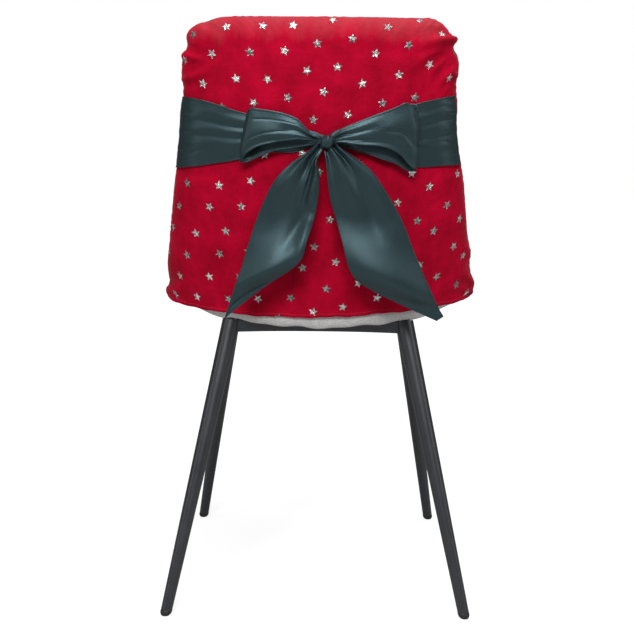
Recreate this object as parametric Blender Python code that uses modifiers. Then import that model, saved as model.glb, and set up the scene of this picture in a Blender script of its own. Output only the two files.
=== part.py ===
"""A dining chair whose back wears a printed cover with a sash tied in a bow.

Metres, +Z up. The chair faces +Y, so the back of the cover, with the bow, faces -Y.
The origin is on the floor under the middle of the bounding box.
"""
import math
from collections import namedtuple

import bmesh
import bpy
from mathutils import Euler, Vector

# ---------------------------------------------------------------- driving dimensions
TOP_Z = 0.8415                 # top of the backrest under the cover
CORNER_RADIUS = 0.044          # the two rounded top corners, seen from behind
EDGE_RADIUS = 0.034            # how far from the outline the padding starts to round over
BACK_HALF_THICKNESS = 0.0225   # half the padded backrest
BACK_BOTTOM_Z = 0.4800
SIDE_POWER = 2.4               # how the back wraps forward towards its sides

CLOTH = 0.0016                 # thickness of the cover's cloth
COVER_GROW = 0.0035            # outside of the cover above the backrest
SEAM_GAP = 0.0011              # each panel stops this far from the seam plane
FRONT_PANEL_BOTTOM_Z = 0.4870
RIBBON = 0.0012                # thickness of the sash
STRAP_GROW = 0.0056            # outside of the straps above the backrest

SEAT_FRONT_Y = 0.2352
SEAT_FRONT_CORNER = 0.055
SKIRT_FRONT_Y = -0.050         # the skirt of cloth dips only behind this
SEAT_CLEARANCE = 0.0012        # between the seat and the cover round its rear
SEAT_BOTTOM_Z = 0.4195
SEAT_EDGE_Z = 0.459            # the seat's edge above this height is level all round
SEAT_PLAN_Z = 0.430            # the seat's rear edge follows the back's section at this height
REAR_STEPS = 16                # quads round the seat: its rear, then half of the rest
SIDE_STEPS = 3
CORNER_STEPS = 5
FRONT_STEPS = 4
SEAT_COLUMNS = REAR_STEPS + 2 * (SIDE_STEPS + CORNER_STEPS + FRONT_STEPS)
BOARD_THICKNESS = 0.003
BOARD_INSET = 0.066

LEG_TOP_Z = 0.4155
LEG_BOTTOM_Z = 0.0063
LEG_TOP_RADIUS = 0.0133
LEG_BOTTOM_RADIUS = 0.0076
REAR_FOOT = (0.2155, -0.225)
FRONT_FOOT = (0.2050, 0.225)
REAR_LEAN = (-0.2115, 0.250)   # metres of x and y per metre of height
FRONT_LEAN = (-0.157, -0.200)
FOOT_RADIUS = 0.0084
RAIL_WIDTH = 0.012
RAIL_BOTTOM_Z = 0.3990
RAIL_TOP_Z = 0.4122
RAIL_END_GAP = 0.0012

KNOT_CENTRE = (0.0098, -0.2230, 0.6760)
KNOT_SIZE = (0.0100, 0.0130, 0.0098)

# ---------------------------------------------------------------- tables of sections
# The backrest at a few heights: rearmost y on its middle line, half width, and how far
# its side edges come forward from that rearmost line.
Level = namedtuple("Level", "z back half_width wrap")
BACK_LEVELS = (
    Level(0.400, -0.1565, 0.2370, 0.118),
    Level(0.430, -0.1625, 0.2345, 0.113),
    Level(0.470, -0.1715, 0.2275, 0.100),
    Level(0.520, -0.1815, 0.2190, 0.085),
    Level(0.600, -0.1945, 0.2080, 0.070),
    Level(0.700, -0.2065, 0.1955, 0.058),
    Level(0.760, -0.2120, 0.1900, 0.051),
    Level(0.850, -0.2185, 0.1885, 0.045),
)

# The hem of the back panel, seen from behind.
Hem = namedtuple("Hem", "x z")
HEM = (
    Hem(-0.2360, 0.4515),
    Hem(-0.2264, 0.4430),
    Hem(-0.2046, 0.4362),
    Hem(-0.1695, 0.4324),
    Hem(-0.1124, 0.4283),
    Hem(-0.0400, 0.4265),
    Hem(0.0300, 0.4280),
    Hem(0.0916, 0.4323),
    Hem(0.1342, 0.4356),
    Hem(0.1855, 0.4412),
    Hem(0.2211, 0.4462),
    Hem(0.2360, 0.4515),
)

# Soft troughs in the back panel: from one end to the other, how wide and how deep.
Trough = namedtuple("Trough", "x0 z0 x1 z1 width depth")
BACK_TROUGHS = (
    Trough(0.176, 0.822, 0.085, 0.790, 0.020, 0.0012),
    Trough(0.182, 0.806, 0.110, 0.735, 0.020, 0.0012),
    Trough(-0.176, 0.822, -0.120, 0.800, 0.020, 0.0012),
    Trough(-0.224, 0.468, -0.120, 0.462, 0.020, 0.0014),
    Trough(0.226, 0.470, 0.110, 0.462, 0.020, 0.0014),
    Trough(-0.196, 0.600, -0.090, 0.560, 0.024, 0.0010),
)

# A strap lies on the cover from its side seam to the knot.
StrapSection = namedtuple("StrapSection", "top_x top_z bottom_x bottom_z")
STRAP_LEFT = (
    StrapSection(-0.1905, 0.7365, -0.2020, 0.6390),
    StrapSection(-0.1705, 0.7330, -0.1720, 0.6410),
    StrapSection(-0.1510, 0.7286, -0.1520, 0.6442),
    StrapSection(-0.1138, 0.7170, -0.1145, 0.6504),
    StrapSection(-0.0700, 0.7060, -0.0700, 0.6600),
    StrapSection(-0.0350, 0.6930, -0.0350, 0.6640),
    StrapSection(0.0060, 0.6840, 0.0060, 0.6690),
)
STRAP_RIGHT = (
    StrapSection(0.1815, 0.7410, 0.1985, 0.6480),
    StrapSection(0.1540, 0.7347, 0.1660, 0.6444),
    StrapSection(0.1320, 0.7290, 0.1360, 0.6431),
    StrapSection(0.1000, 0.7160, 0.1000, 0.6500),
    StrapSection(0.0650, 0.7020, 0.0650, 0.6600),
    StrapSection(0.0140, 0.6840, 0.0140, 0.6690),
)

# A loop of the bow: out from the knot as its front layer, over the fold, and back
# behind it. Both long edges of the ribbon are given at each section.
EdgePair = namedtuple("EdgePair", "x0 y0 z0 x1 y1 z1")
LOOP_LEFT = (
    EdgePair(-0.0010, -0.2262, 0.6845, -0.0010, -0.2262, 0.6745),
    EdgePair(-0.0115, -0.2280, 0.6880, -0.0120, -0.2280, 0.6765),
    EdgePair(-0.0212, -0.2292, 0.6976, -0.0225, -0.2290, 0.6770),
    EdgePair(-0.0309, -0.2296, 0.7070, -0.0340, -0.2292, 0.6760),
    EdgePair(-0.0464, -0.2292, 0.7134, -0.0500, -0.2285, 0.6743),
    EdgePair(-0.0637, -0.2282, 0.7171, -0.0665, -0.2272, 0.6720),
    EdgePair(-0.0810, -0.2262, 0.7190, -0.0840, -0.2250, 0.6682),
    EdgePair(-0.0935, -0.2238, 0.7200, -0.0990, -0.2225, 0.6610),
    EdgePair(-0.1045, -0.2200, 0.7160, -0.1090, -0.2190, 0.6535),
    EdgePair(-0.1115, -0.2158, 0.7110, -0.1140, -0.2150, 0.6510),
    EdgePair(-0.1110, -0.2118, 0.7080, -0.1125, -0.2112, 0.6480),
    EdgePair(-0.0980, -0.2102, 0.7060, -0.1000, -0.2098, 0.6480),
    EdgePair(-0.0800, -0.2125, 0.7030, -0.0815, -0.2122, 0.6568),
    EdgePair(-0.0550, -0.2148, 0.6970, -0.0600, -0.2143, 0.6660),
    EdgePair(-0.0250, -0.2166, 0.6880, -0.0300, -0.2162, 0.6720),
    EdgePair(-0.0010, -0.2178, 0.6835, -0.0010, -0.2178, 0.6755),
)
LOOP_RIGHT = (
    EdgePair(0.0205, -0.2262, 0.6870, 0.0205, -0.2262, 0.6750),
    EdgePair(0.0300, -0.2280, 0.6950, 0.0320, -0.2280, 0.6750),
    EdgePair(0.0443, -0.2292, 0.7011, 0.0460, -0.2290, 0.6728),
    EdgePair(0.0634, -0.2292, 0.7089, 0.0640, -0.2288, 0.6720),
    EdgePair(0.0825, -0.2278, 0.7163, 0.0810, -0.2270, 0.6708),
    EdgePair(0.1016, -0.2250, 0.7235, 0.0970, -0.2245, 0.6665),
    EdgePair(0.1168, -0.2212, 0.7305, 0.1100, -0.2215, 0.6590),
    EdgePair(0.1270, -0.2175, 0.7310, 0.1190, -0.2185, 0.6490),
    EdgePair(0.1325, -0.2135, 0.7230, 0.1270, -0.2145, 0.6420),
    EdgePair(0.1350, -0.2095, 0.7140, 0.1330, -0.2095, 0.6400),
    EdgePair(0.1330, -0.2060, 0.7100, 0.1310, -0.2050, 0.6385),
    EdgePair(0.1230, -0.2062, 0.7060, 0.1220, -0.2050, 0.6375),
    EdgePair(0.1050, -0.2092, 0.7020, 0.1040, -0.2078, 0.6475),
    EdgePair(0.0850, -0.2120, 0.6970, 0.0841, -0.2110, 0.6537),
    EdgePair(0.0600, -0.2145, 0.6920, 0.0590, -0.2140, 0.6635),
    EdgePair(0.0350, -0.2165, 0.6880, 0.0342, -0.2162, 0.6744),
    EdgePair(0.0205, -0.2178, 0.6860, 0.0205, -0.2178, 0.6760),
)

# The two tails hang from under the knot, each cut slantwise at its end. The first
# point of a pair is on the left edge, the second on the right edge, seen from behind.
TAIL_LEFT = (
    EdgePair(-0.0140, -0.2215, 0.6640, -0.0030, -0.2225, 0.6650),
    EdgePair(-0.0250, -0.2225, 0.6560, -0.0025, -0.2250, 0.6520),
    EdgePair(-0.0400, -0.2235, 0.6470, -0.0005, -0.2270, 0.6350),
    EdgePair(-0.0620, -0.2250, 0.6230, -0.0005, -0.2285, 0.6090),
    EdgePair(-0.0815, -0.2225, 0.5835, -0.0055, -0.2270, 0.5775),
    EdgePair(-0.0960, -0.2175, 0.5415, -0.0150, -0.2235, 0.5440),
    EdgePair(-0.1075, -0.2125, 0.5020, -0.0275, -0.2190, 0.5110),
    EdgePair(-0.1195, -0.2070, 0.4660, -0.0790, -0.2120, 0.4730),
    EdgePair(-0.1315, -0.2005, 0.4300, -0.1280, -0.2010, 0.4330),
)
TAIL_RIGHT = (
    EdgePair(0.0085, -0.2240, 0.6650, 0.0320, -0.2225, 0.6660),
    EdgePair(0.0090, -0.2265, 0.6540, 0.0480, -0.2235, 0.6560),
    EdgePair(0.0105, -0.2285, 0.6290, 0.0705, -0.2235, 0.6385),
    EdgePair(0.0150, -0.2275, 0.5995, 0.0955, -0.2220, 0.6035),
    EdgePair(0.0235, -0.2245, 0.5705, 0.1155, -0.2185, 0.5685),
    EdgePair(0.0310, -0.2205, 0.5430, 0.1275, -0.2140, 0.5390),
    EdgePair(0.0440, -0.2150, 0.4990, 0.1425, -0.2085, 0.5035),
    EdgePair(0.0690, -0.2100, 0.4760, 0.1580, -0.2020, 0.4705),
    EdgePair(0.1200, -0.2030, 0.4500, 0.1690, -0.1965, 0.4480),
    EdgePair(0.1670, -0.1960, 0.4285, 0.1770, -0.1950, 0.4350),
)

# Long folds of a tail: where across the ribbon (0 to 1), how wide and how high.
Fold = namedtuple("Fold", "across width height")
TAIL_FOLDS = (Fold(0.22, 0.11, 0.0045), Fold(0.52, 0.12, -0.0035), Fold(0.78, 0.10, 0.0035))

# The seat from under its middle, round its edge, to its crown: how far in from the
# outline and how high. A skirt of cloth dips below the rear edge between the legs.
Ring = namedtuple("Ring", "inset z dip")
SEAT_RINGS = (
    Ring(0.120, 0.4195, 0.0),
    Ring(0.024, 0.4195, 0.0),
    Ring(0.014, 0.4190, 0.6),
    Ring(0.006, 0.4215, 1.0),
    Ring(0.000, 0.4320, 0.3),
    Ring(0.000, 0.4460, 0.0),
    Ring(0.005, 0.4590, 0.0),
    Ring(0.014, 0.4680, 0.0),
    Ring(0.034, 0.4745, 0.0),
    Ring(0.075, 0.4775, 0.0),
    Ring(0.120, 0.4785, 0.0),
)
SKIRT_DIP = 0.0105
SKIRT_HALF_WIDTH = 0.108
SIDE_LIFT = 0.0230             # the seat's lower edge is this much higher at its sides
SIDE_LIFT_FROM = 0.135
SIDE_LIFT_TO = 0.222


# ---------------------------------------------------------------- small helpers
def along(knots, values, at):
    """A smooth curve through the values, read at one place."""
    if at <= knots[0]:
        return values[0]
    if at >= knots[-1]:
        return values[-1]
    i = max(k for k in range(len(knots) - 1) if knots[k] <= at)
    span = knots[i + 1] - knots[i]
    before, after = max(i - 1, 0), min(i + 2, len(knots) - 1)
    slope0 = (values[i + 1] - values[before]) / (knots[i + 1] - knots[before]) * span
    slope1 = (values[after] - values[i]) / (knots[after] - knots[i]) * span
    t = (at - knots[i]) / span
    rise = values[i + 1] - values[i]
    return values[i] + t * slope0 + t * t * (3 * rise - 2 * slope0 - slope1) \
        + t ** 3 * (slope0 + slope1 - 2 * rise)


def read_rows(rows, knots, at):
    """Every column of a table of sections, read at one place between its rows."""
    return [along(knots, column, at) for column in zip(*rows)]


def even_knots(rows):
    """Places 0 to 1 for a table's rows, spaced by the distance between the sections."""
    lengths = [0.0]
    for a, b in zip(rows, rows[1:]):
        lengths.append(lengths[-1] + math.dist(a, b))
    return [length / lengths[-1] for length in lengths]


def back_levels(z):
    """Rearmost y, half width and wrap of the backrest at one height."""
    return read_rows([row[1:] for row in BACK_LEVELS], [row.z for row in BACK_LEVELS], z)


def back_point(s, z, side, grow=0.0):
    """A point of the padded back, or of cloth that lies `grow` above it.

    s runs from -1 to 1 between the side edges, side is -1 behind and +1 in front.
    """
    rear_y, half_width, wrap = back_levels(z)
    top = TOP_Z + grow
    radius = CORNER_RADIUS + grow
    full = half_width + grow
    above = max(0.0, z - (top - radius))
    outline = full - radius + math.sqrt(max(0.0, radius ** 2 - above ** 2))
    x = s * outline
    in_x, in_z = full - abs(x), top - z
    if in_x < radius and in_z < radius:
        inward = radius - math.hypot(radius - in_x, radius - in_z)
    else:
        inward = min(in_x, in_z)
    round_over = EDGE_RADIUS + grow
    rest = 1.0 - min(1.0, max(0.0, inward) / round_over)
    half = (BACK_HALF_THICKNESS + grow) * math.sqrt(max(0.0, 1.0 - rest ** 2))
    middle = rear_y + BACK_HALF_THICKNESS
    middle += (wrap - BACK_HALF_THICKNESS) * abs(x / full) ** SIDE_POWER
    return Vector((x, middle + side * half, z))


def spread(u):
    """0 to 1 across the back becomes -1 to 1, closer together near the two edges."""
    return math.sin(math.pi * (u - 0.5))


def rise(v):
    """0 to 1 up the back, closer together near the top."""
    return math.sin(0.5 * math.pi * v)


def trough_depth(x, z):
    """How far the troughs press the back panel in at one place."""
    total = 0.0
    for row in BACK_TROUGHS:
        run_x, run_z = row.x1 - row.x0, row.z1 - row.z0
        length2 = run_x ** 2 + run_z ** 2
        t = ((x - row.x0) * run_x + (z - row.z0) * run_z) / length2
        t = min(1.0, max(0.0, t))
        away = math.hypot(x - row.x0 - t * run_x, z - row.z0 - t * run_z)
        total += row.depth * (1.0 - 0.6 * t) * math.exp(-(away / row.width) ** 2)
    return total


def add_patch(bm, columns, rows, place):
    """A grid of quads whose corners are placed by a function of (0..1, 0..1)."""
    made = bmesh.ops.create_grid(bm, x_segments=columns, y_segments=rows, size=0.5)
    for vert in made["verts"]:
        vert.co = place(vert.co.x + 0.5, vert.co.y + 0.5)


def make_material(name, colour, roughness, metallic=0.0):
    """A Principled material for one finish."""
    material = bpy.data.materials.new(name)
    material.use_nodes = True
    shader = material.node_tree.nodes["Principled BSDF"]
    shader.inputs["Base Color"].default_value = (*colour, 1.0)
    shader.inputs["Roughness"].default_value = roughness
    shader.inputs["Metallic"].default_value = metallic
    material.diffuse_color = (*colour, 1.0)
    return material


def add_object(name, bm, material, smooth=True):
    """Turns a bmesh into an object of the chair's collection."""
    mesh = bpy.data.meshes.new(name)
    bm.to_mesh(mesh)
    bm.free()
    mesh.materials.append(material)
    if smooth:
        mesh.shade_smooth()
        mesh.set_sharp_from_angle(angle=math.radians(40))
    obj = bpy.data.objects.new(name, mesh)
    chair.objects.link(obj)
    return obj


def add_sheet(name, columns, rows, place, material, thickness):
    """A sheet of cloth: an open surface that Solidify thickens inwards."""
    bm = bmesh.new()
    add_patch(bm, columns, rows, place)
    obj = add_object(name, bm, material)
    solidify = obj.modifiers.new("cloth", "SOLIDIFY")
    solidify.thickness = thickness
    solidify.offset = -1.0
    return obj


# ---------------------------------------------------------------- the cover
def back_panel_place(u, v):
    """The back panel runs from its hem to the top seam, outside the backrest."""
    s = spread(u)
    hem_x = s * HEM[-1].x
    hem_z = along([row.x for row in HEM], [row.z for row in HEM], hem_x)
    z = hem_z + (TOP_Z + COVER_GROW - hem_z) * rise(v)
    point = back_point(s, z, -1, COVER_GROW)
    clear = min(1.0, (1.0 - abs(s)) / 0.08)
    point.y += trough_depth(point.x, z) * clear - SEAM_GAP
    return point


def front_panel_place(u, v):
    """The front panel runs from just above the seat to the same top seam."""
    z = FRONT_PANEL_BOTTOM_Z + (TOP_Z + COVER_GROW - FRONT_PANEL_BOTTOM_Z) * rise(v)
    point = back_point(-spread(u), z, 1, COVER_GROW)
    point.y += SEAM_GAP
    return point


def make_cover(velvet):
    add_sheet("cover_back_panel", 24, 18, back_panel_place, velvet, CLOTH)
    add_sheet("cover_front_panel", 20, 12, front_panel_place, velvet, CLOTH)


# ---------------------------------------------------------------- the sash
def strap_place(sections):
    """A function that lays a strap on the cover, from its side seam (0) to the knot (1).

    Its columns are closer together near the seam, where the padding rounds over.
    """
    knots = even_knots(sections)

    def place(u, v):
        top_x, top_z, bottom_x, bottom_z = read_rows(sections, knots, u * u)
        x = bottom_x + (top_x - bottom_x) * v
        z = bottom_z + (top_z - bottom_z) * v
        full = back_levels(z)[1] + STRAP_GROW
        s = max(-1.0, min(1.0, x / full))
        point = back_point(s, z, -1, STRAP_GROW)
        point.y -= SEAM_GAP
        return point

    return place


def ribbon_place(sections, belly=0.0, folds=(), fade=1.0):
    """A function that carries the ribbon through its sections, v along and u across."""
    knots = even_knots(sections)

    def place(u, v):
        x0, y0, z0, x1, y1, z1 = read_rows(sections, knots, v)
        point = Vector((x0, y0, z0)).lerp(Vector((x1, y1, z1)), u)
        width = math.dist((x0, y0, z0), (x1, y1, z1))
        proud = belly * width * math.sin(math.pi * u)
        for fold in folds:
            rounded = math.exp(-((u - fold.across) / fold.width) ** 2)
            proud += fold.height * rounded * math.sin(math.pi * min(1.0, v * fade))
        point.y -= proud
        return point

    return place


def make_straps(satin):
    left = strap_place(STRAP_LEFT)
    right = strap_place(STRAP_RIGHT)
    add_sheet("strap_left", 12, 4, left, satin, RIBBON)
    add_sheet("strap_right", 12, 4, lambda u, v: right(1.0 - u, v), satin, RIBBON)


def make_loops(satin):
    left = ribbon_place(LOOP_LEFT)
    right = ribbon_place(LOOP_RIGHT)
    add_sheet("loop_left", 4, 24, left, satin, RIBBON)
    add_sheet("loop_right", 4, 24, lambda u, v: right(1.0 - u, v), satin, RIBBON)


def make_tails(satin):
    left = ribbon_place(TAIL_LEFT, 0.04, TAIL_FOLDS, 0.62)
    right = ribbon_place(TAIL_RIGHT, 0.04, TAIL_FOLDS, 0.62)
    add_sheet("tail_left", 10, 14, lambda u, v: left(u, 1.0 - v), satin, RIBBON)
    add_sheet("tail_right", 10, 16, lambda u, v: right(u, 1.0 - v), satin, RIBBON)


def make_knot(satin):
    """The knot is one tight wrap of ribbon, boxier than a ball, with two pleats."""
    bm = bmesh.new()
    bmesh.ops.create_uvsphere(bm, u_segments=16, v_segments=10, radius=1.0)
    for vert in bm.verts:
        across, out, up = vert.co
        pleat = 1.0 - 0.06 * math.cos(6.0 * math.pi * up) * (1.0 - up * up)
        vert.co = Vector(KNOT_CENTRE) + Vector((
            math.copysign(abs(across) ** 0.72, across) * KNOT_SIZE[0],
            math.copysign(abs(out) ** 0.80, out) * KNOT_SIZE[1] * pleat,
            math.copysign(abs(up) ** 0.85, up) * KNOT_SIZE[2],
        ))
    add_object("knot", bm, satin)


# ---------------------------------------------------------------- the chair
def make_backrest(upholstery):
    """The padded back: a rear and a front face that meet at the outline, and a bottom."""
    bm = bmesh.new()

    def rear(u, v):
        return back_point(spread(u), BACK_BOTTOM_Z + (TOP_Z - BACK_BOTTOM_Z) * rise(v), -1)

    def front(u, v):
        return back_point(-spread(u), BACK_BOTTOM_Z + (TOP_Z - BACK_BOTTOM_Z) * rise(v), 1)

    def bottom(u, v):
        return front(1.0 - u, 0.0).lerp(rear(u, 0.0), v)

    add_patch(bm, 20, 12, rear)
    add_patch(bm, 20, 12, front)
    add_patch(bm, 20, 1, bottom)
    bmesh.ops.remove_doubles(bm, verts=bm.verts, dist=0.00002)
    add_object("backrest", bm, upholstery)


def seat_extent():
    """The seat's rearmost and foremost y."""
    return back_point(0.0, SEAT_PLAN_Z, -1, -SEAT_CLEARANCE).y, SEAT_FRONT_Y


def seat_side(step):
    """A point of the seat's right side, from the rear (0) round to the front's middle."""
    half_width = back_levels(SEAT_PLAN_Z)[1] - SEAT_CLEARANCE
    side_y = back_point(1.0, SEAT_PLAN_Z, -1, -SEAT_CLEARANCE).y
    corner_y = SEAT_FRONT_Y - SEAT_FRONT_CORNER
    corner_x = half_width - SEAT_FRONT_CORNER
    if step < SIDE_STEPS:
        return half_width, side_y + (corner_y - side_y) * step / SIDE_STEPS
    if step < SIDE_STEPS + CORNER_STEPS:
        angle = 0.5 * math.pi * (step - SIDE_STEPS) / CORNER_STEPS
        return (corner_x + SEAT_FRONT_CORNER * math.cos(angle),
                corner_y + SEAT_FRONT_CORNER * math.sin(angle))
    return corner_x * (1.0 - (step - SIDE_STEPS - CORNER_STEPS) / FRONT_STEPS), SEAT_FRONT_Y


def seat_outline(turn, inset):
    """A point of the seat's outline, 0 to 1 round it, moved inwards by `inset`.

    It follows the backrest's section round the rear, then the two sides and the front.
    """
    step = turn * SEAT_COLUMNS - REAR_STEPS
    if step < 0:
        s = spread(1.0 + step / REAR_STEPS)
        point = back_point(s, SEAT_PLAN_Z, -1, -SEAT_CLEARANCE)
        x, y = point.x, point.y
    else:
        half = SIDE_STEPS + CORNER_STEPS + FRONT_STEPS
        x, y = seat_side(min(step, 2 * half - step))
        x = -x if step > half else x
    rear, front = seat_extent()
    half_width = back_levels(SEAT_PLAN_Z)[1] - SEAT_CLEARANCE
    middle = 0.5 * (rear + front)
    return Vector((
        x * (1.0 - inset / half_width),
        middle + (y - middle) * (1.0 - inset / (0.5 * (front - rear))),
        0.0,
    ))


def skirt_dip(point):
    """How far the rear skirt hangs below the seat's underside at one place."""
    if point.y > SKIRT_FRONT_Y:
        return 0.0
    across = min(1.0, abs(point.x) / SKIRT_HALF_WIDTH)
    return SKIRT_DIP * (0.5 + 0.5 * math.cos(math.pi * across))


def side_lift(x):
    """How far the seat's lower edge rises towards its two sides."""
    t = (abs(x) - SIDE_LIFT_FROM) / (SIDE_LIFT_TO - SIDE_LIFT_FROM)
    t = min(1.0, max(0.0, t))
    return SIDE_LIFT * t * t * (3.0 - 2.0 * t)


def make_seat(upholstery):
    """The seat: rings round its outline from below to its crown, closed in the middle."""
    bm = bmesh.new()
    knots = list(range(len(SEAT_RINGS)))

    def edge(u, v):
        inset, z, dip = read_rows(SEAT_RINGS, knots, v * knots[-1])
        point = seat_outline(u, inset)
        low = min(1.0, max(0.0, (SEAT_EDGE_Z - z) / (SEAT_EDGE_Z - SEAT_BOTTOM_Z)))
        point.z = z - dip * skirt_dip(point) + low * side_lift(point.x)
        return point

    def lid(row, facing_up):
        def place(u, v):
            point = seat_outline(u, row.inset)
            centre = Vector((0.0, 0.5 * sum(seat_extent()), 0.0))
            point = centre.lerp(point, 1.0 - v if facing_up else v)
            point.z = row.z
            return point
        return place

    add_patch(bm, SEAT_COLUMNS, len(SEAT_RINGS) - 1, edge)
    add_patch(bm, SEAT_COLUMNS, 1, lid(SEAT_RINGS[0], False))
    add_patch(bm, SEAT_COLUMNS, 1, lid(SEAT_RINGS[-1], True))
    bmesh.ops.remove_doubles(bm, verts=bm.verts, dist=0.00002)
    add_object("seat", bm, upholstery)


def make_underside(plastic):
    """The black board that closes the seat from below."""
    curve = bpy.data.curves.new("seat_board", "CURVE")
    curve.dimensions = "2D"
    curve.fill_mode = "BOTH"
    curve.extrude = 0.5 * BOARD_THICKNESS
    spline = curve.splines.new("POLY")
    spline.points.add(SEAT_COLUMNS - 1)
    for i, point in enumerate(spline.points):
        place = seat_outline(i / SEAT_COLUMNS, BOARD_INSET)
        point.co = (place.x, place.y, 0.0, 1.0)
    spline.use_cyclic_u = True
    curve.materials.append(plastic)
    board = bpy.data.objects.new("seat_board", curve)
    board.location.z = SEAT_BOTTOM_Z - 0.0004 - 0.5 * BOARD_THICKNESS
    chair.objects.link(board)


def leg_centre(foot, lean, side, z):
    """The middle of a leg at one height."""
    return Vector((side * (foot[0] + lean[0] * z), foot[1] + lean[1] * z, z))


def make_leg(name, foot, lean, side, metal):
    """A tapered round tube that leans outwards, with level ends."""
    length = LEG_TOP_Z - LEG_BOTTOM_Z
    bm = bmesh.new()
    bmesh.ops.create_cone(bm, cap_ends=True, segments=20, radius1=LEG_BOTTOM_RADIUS,
                          radius2=LEG_TOP_RADIUS, depth=length)
    for vert in bm.verts:
        z = vert.co.z + 0.5 * length + LEG_BOTTOM_Z
        centre = leg_centre(foot, lean, side, z)
        vert.co = Vector((centre.x + vert.co.x, centre.y + vert.co.y, z))
    add_object(name, bm, metal)


def make_foot(name, foot, side, plastic):
    """The glide under a leg."""
    bm = bmesh.new()
    height = LEG_BOTTOM_Z - 0.0003
    bmesh.ops.create_cone(bm, cap_ends=True, segments=20, radius1=FOOT_RADIUS - 0.0012,
                          radius2=FOOT_RADIUS, depth=height)
    bmesh.ops.translate(bm, verts=bm.verts, vec=(side * foot[0], foot[1], 0.5 * height))
    add_object(name, bm, plastic)


def make_rail(name, start, end, metal):
    """A flat bar under the seat between two points."""
    run = end - start
    height = RAIL_TOP_Z - RAIL_BOTTOM_Z
    bm = bmesh.new()
    bmesh.ops.create_cube(bm, size=1.0)
    bmesh.ops.scale(bm, verts=bm.verts, vec=(run.length, RAIL_WIDTH, height))
    turn = Euler((0.0, 0.0, math.atan2(run.y, run.x))).to_matrix()
    bmesh.ops.rotate(bm, verts=bm.verts, cent=(0.0, 0.0, 0.0), matrix=turn)
    bmesh.ops.translate(bm, verts=bm.verts, vec=0.5 * (start + end))
    add_object(name, bm, metal, smooth=False)


def make_frame(metal, plastic):
    """Four legs with their glides, and the four rails that join them under the seat."""
    rail_z = 0.5 * (RAIL_BOTTOM_Z + RAIL_TOP_Z)
    clear = LEG_TOP_RADIUS + RAIL_END_GAP
    for side, word in ((-1, "left"), (1, "right")):
        make_leg(f"leg_rear_{word}", REAR_FOOT, REAR_LEAN, side, metal)
        make_leg(f"leg_front_{word}", FRONT_FOOT, FRONT_LEAN, side, metal)
        make_foot(f"foot_rear_{word}", REAR_FOOT, side, plastic)
        make_foot(f"foot_front_{word}", FRONT_FOOT, side, plastic)
        rear = leg_centre(REAR_FOOT, REAR_LEAN, side, rail_z)
        front = leg_centre(FRONT_FOOT, FRONT_LEAN, side, rail_z)
        step = (front - rear).normalized() * (clear + 0.0020)
        make_rail(f"rail_{word}", rear + step, front - step, metal)
    for word, foot, lean in (("rear", REAR_FOOT, REAR_LEAN), ("front", FRONT_FOOT, FRONT_LEAN)):
        start = leg_centre(foot, lean, -1, rail_z)
        end = leg_centre(foot, lean, 1, rail_z)
        step = Vector((clear + 0.0016, 0.0, 0.0))
        make_rail(f"rail_{word}", start + step, end - step, metal)


# ---------------------------------------------------------------- build
for old in list(bpy.data.objects):
    bpy.data.objects.remove(old)
chair = bpy.data.collections.new("chair_with_back_cover_and_sash")
bpy.context.scene.collection.children.link(chair)

red_velvet = make_material("red_velvet", (0.42, 0.004, 0.018), 0.75)
green_satin = make_material("green_satin", (0.020, 0.045, 0.050), 0.35)
grey_upholstery = make_material("grey_upholstery", (0.42, 0.41, 0.40), 0.85)
black_metal = make_material("black_metal", (0.020, 0.020, 0.023), 0.45)
black_plastic = make_material("black_plastic", (0.015, 0.015, 0.016), 0.60)

make_cover(red_velvet)
make_straps(green_satin)
make_loops(green_satin)
make_knot(green_satin)
make_tails(green_satin)
make_backrest(grey_upholstery)
make_seat(grey_upholstery)
make_underside(black_plastic)
make_frame(black_metal, black_plastic)
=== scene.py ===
# %% [markdown]
# # A dining chair in a velvet back cover with a satin sash
#
# The real object is a sewn cover: two velvet panels joined along the top and the sides,
# pulled over the padded back of a chair. A satin sash is sewn into the side seams and tied
# in a bow behind. The chair stands under it on four thin black legs.
#
# The lesson goes from the outside in: the camera and the light, the finishes, the velvet
# cover, the sash with its bow, the padding, and the metal frame.

import math
from collections import namedtuple

import bmesh
import bpy
import numpy as np
from mathutils import Matrix, Vector


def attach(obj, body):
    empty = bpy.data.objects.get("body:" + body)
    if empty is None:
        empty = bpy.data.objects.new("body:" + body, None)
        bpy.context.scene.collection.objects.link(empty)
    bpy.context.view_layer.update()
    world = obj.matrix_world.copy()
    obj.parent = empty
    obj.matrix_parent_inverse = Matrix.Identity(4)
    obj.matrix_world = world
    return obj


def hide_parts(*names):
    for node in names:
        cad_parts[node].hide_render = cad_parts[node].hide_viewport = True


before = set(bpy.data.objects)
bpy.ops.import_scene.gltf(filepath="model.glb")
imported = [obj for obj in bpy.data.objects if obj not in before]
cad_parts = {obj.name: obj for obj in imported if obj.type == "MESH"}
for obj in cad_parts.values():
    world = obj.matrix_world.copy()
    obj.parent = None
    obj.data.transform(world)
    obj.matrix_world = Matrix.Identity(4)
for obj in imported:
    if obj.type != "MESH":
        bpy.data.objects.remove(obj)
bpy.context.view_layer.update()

# %% [markdown]
# ## The camera, the floor and the light
#
# The chair is seen from behind, a little from above, through a long lens, so the sides stay
# nearly parallel. The floor is a flat pale plane that brightens with distance until it meets
# the white walls, as in a studio. Large soft lights leave broad highlights on satin and a
# bloom on velvet.

# %% The camera
CAMERA_PLACE = Vector((-0.00144, -1.795, 0.6656))
LOOK_DOWN = math.radians(8.3)
CAMERA_ROLL = math.radians(0.6)

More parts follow.
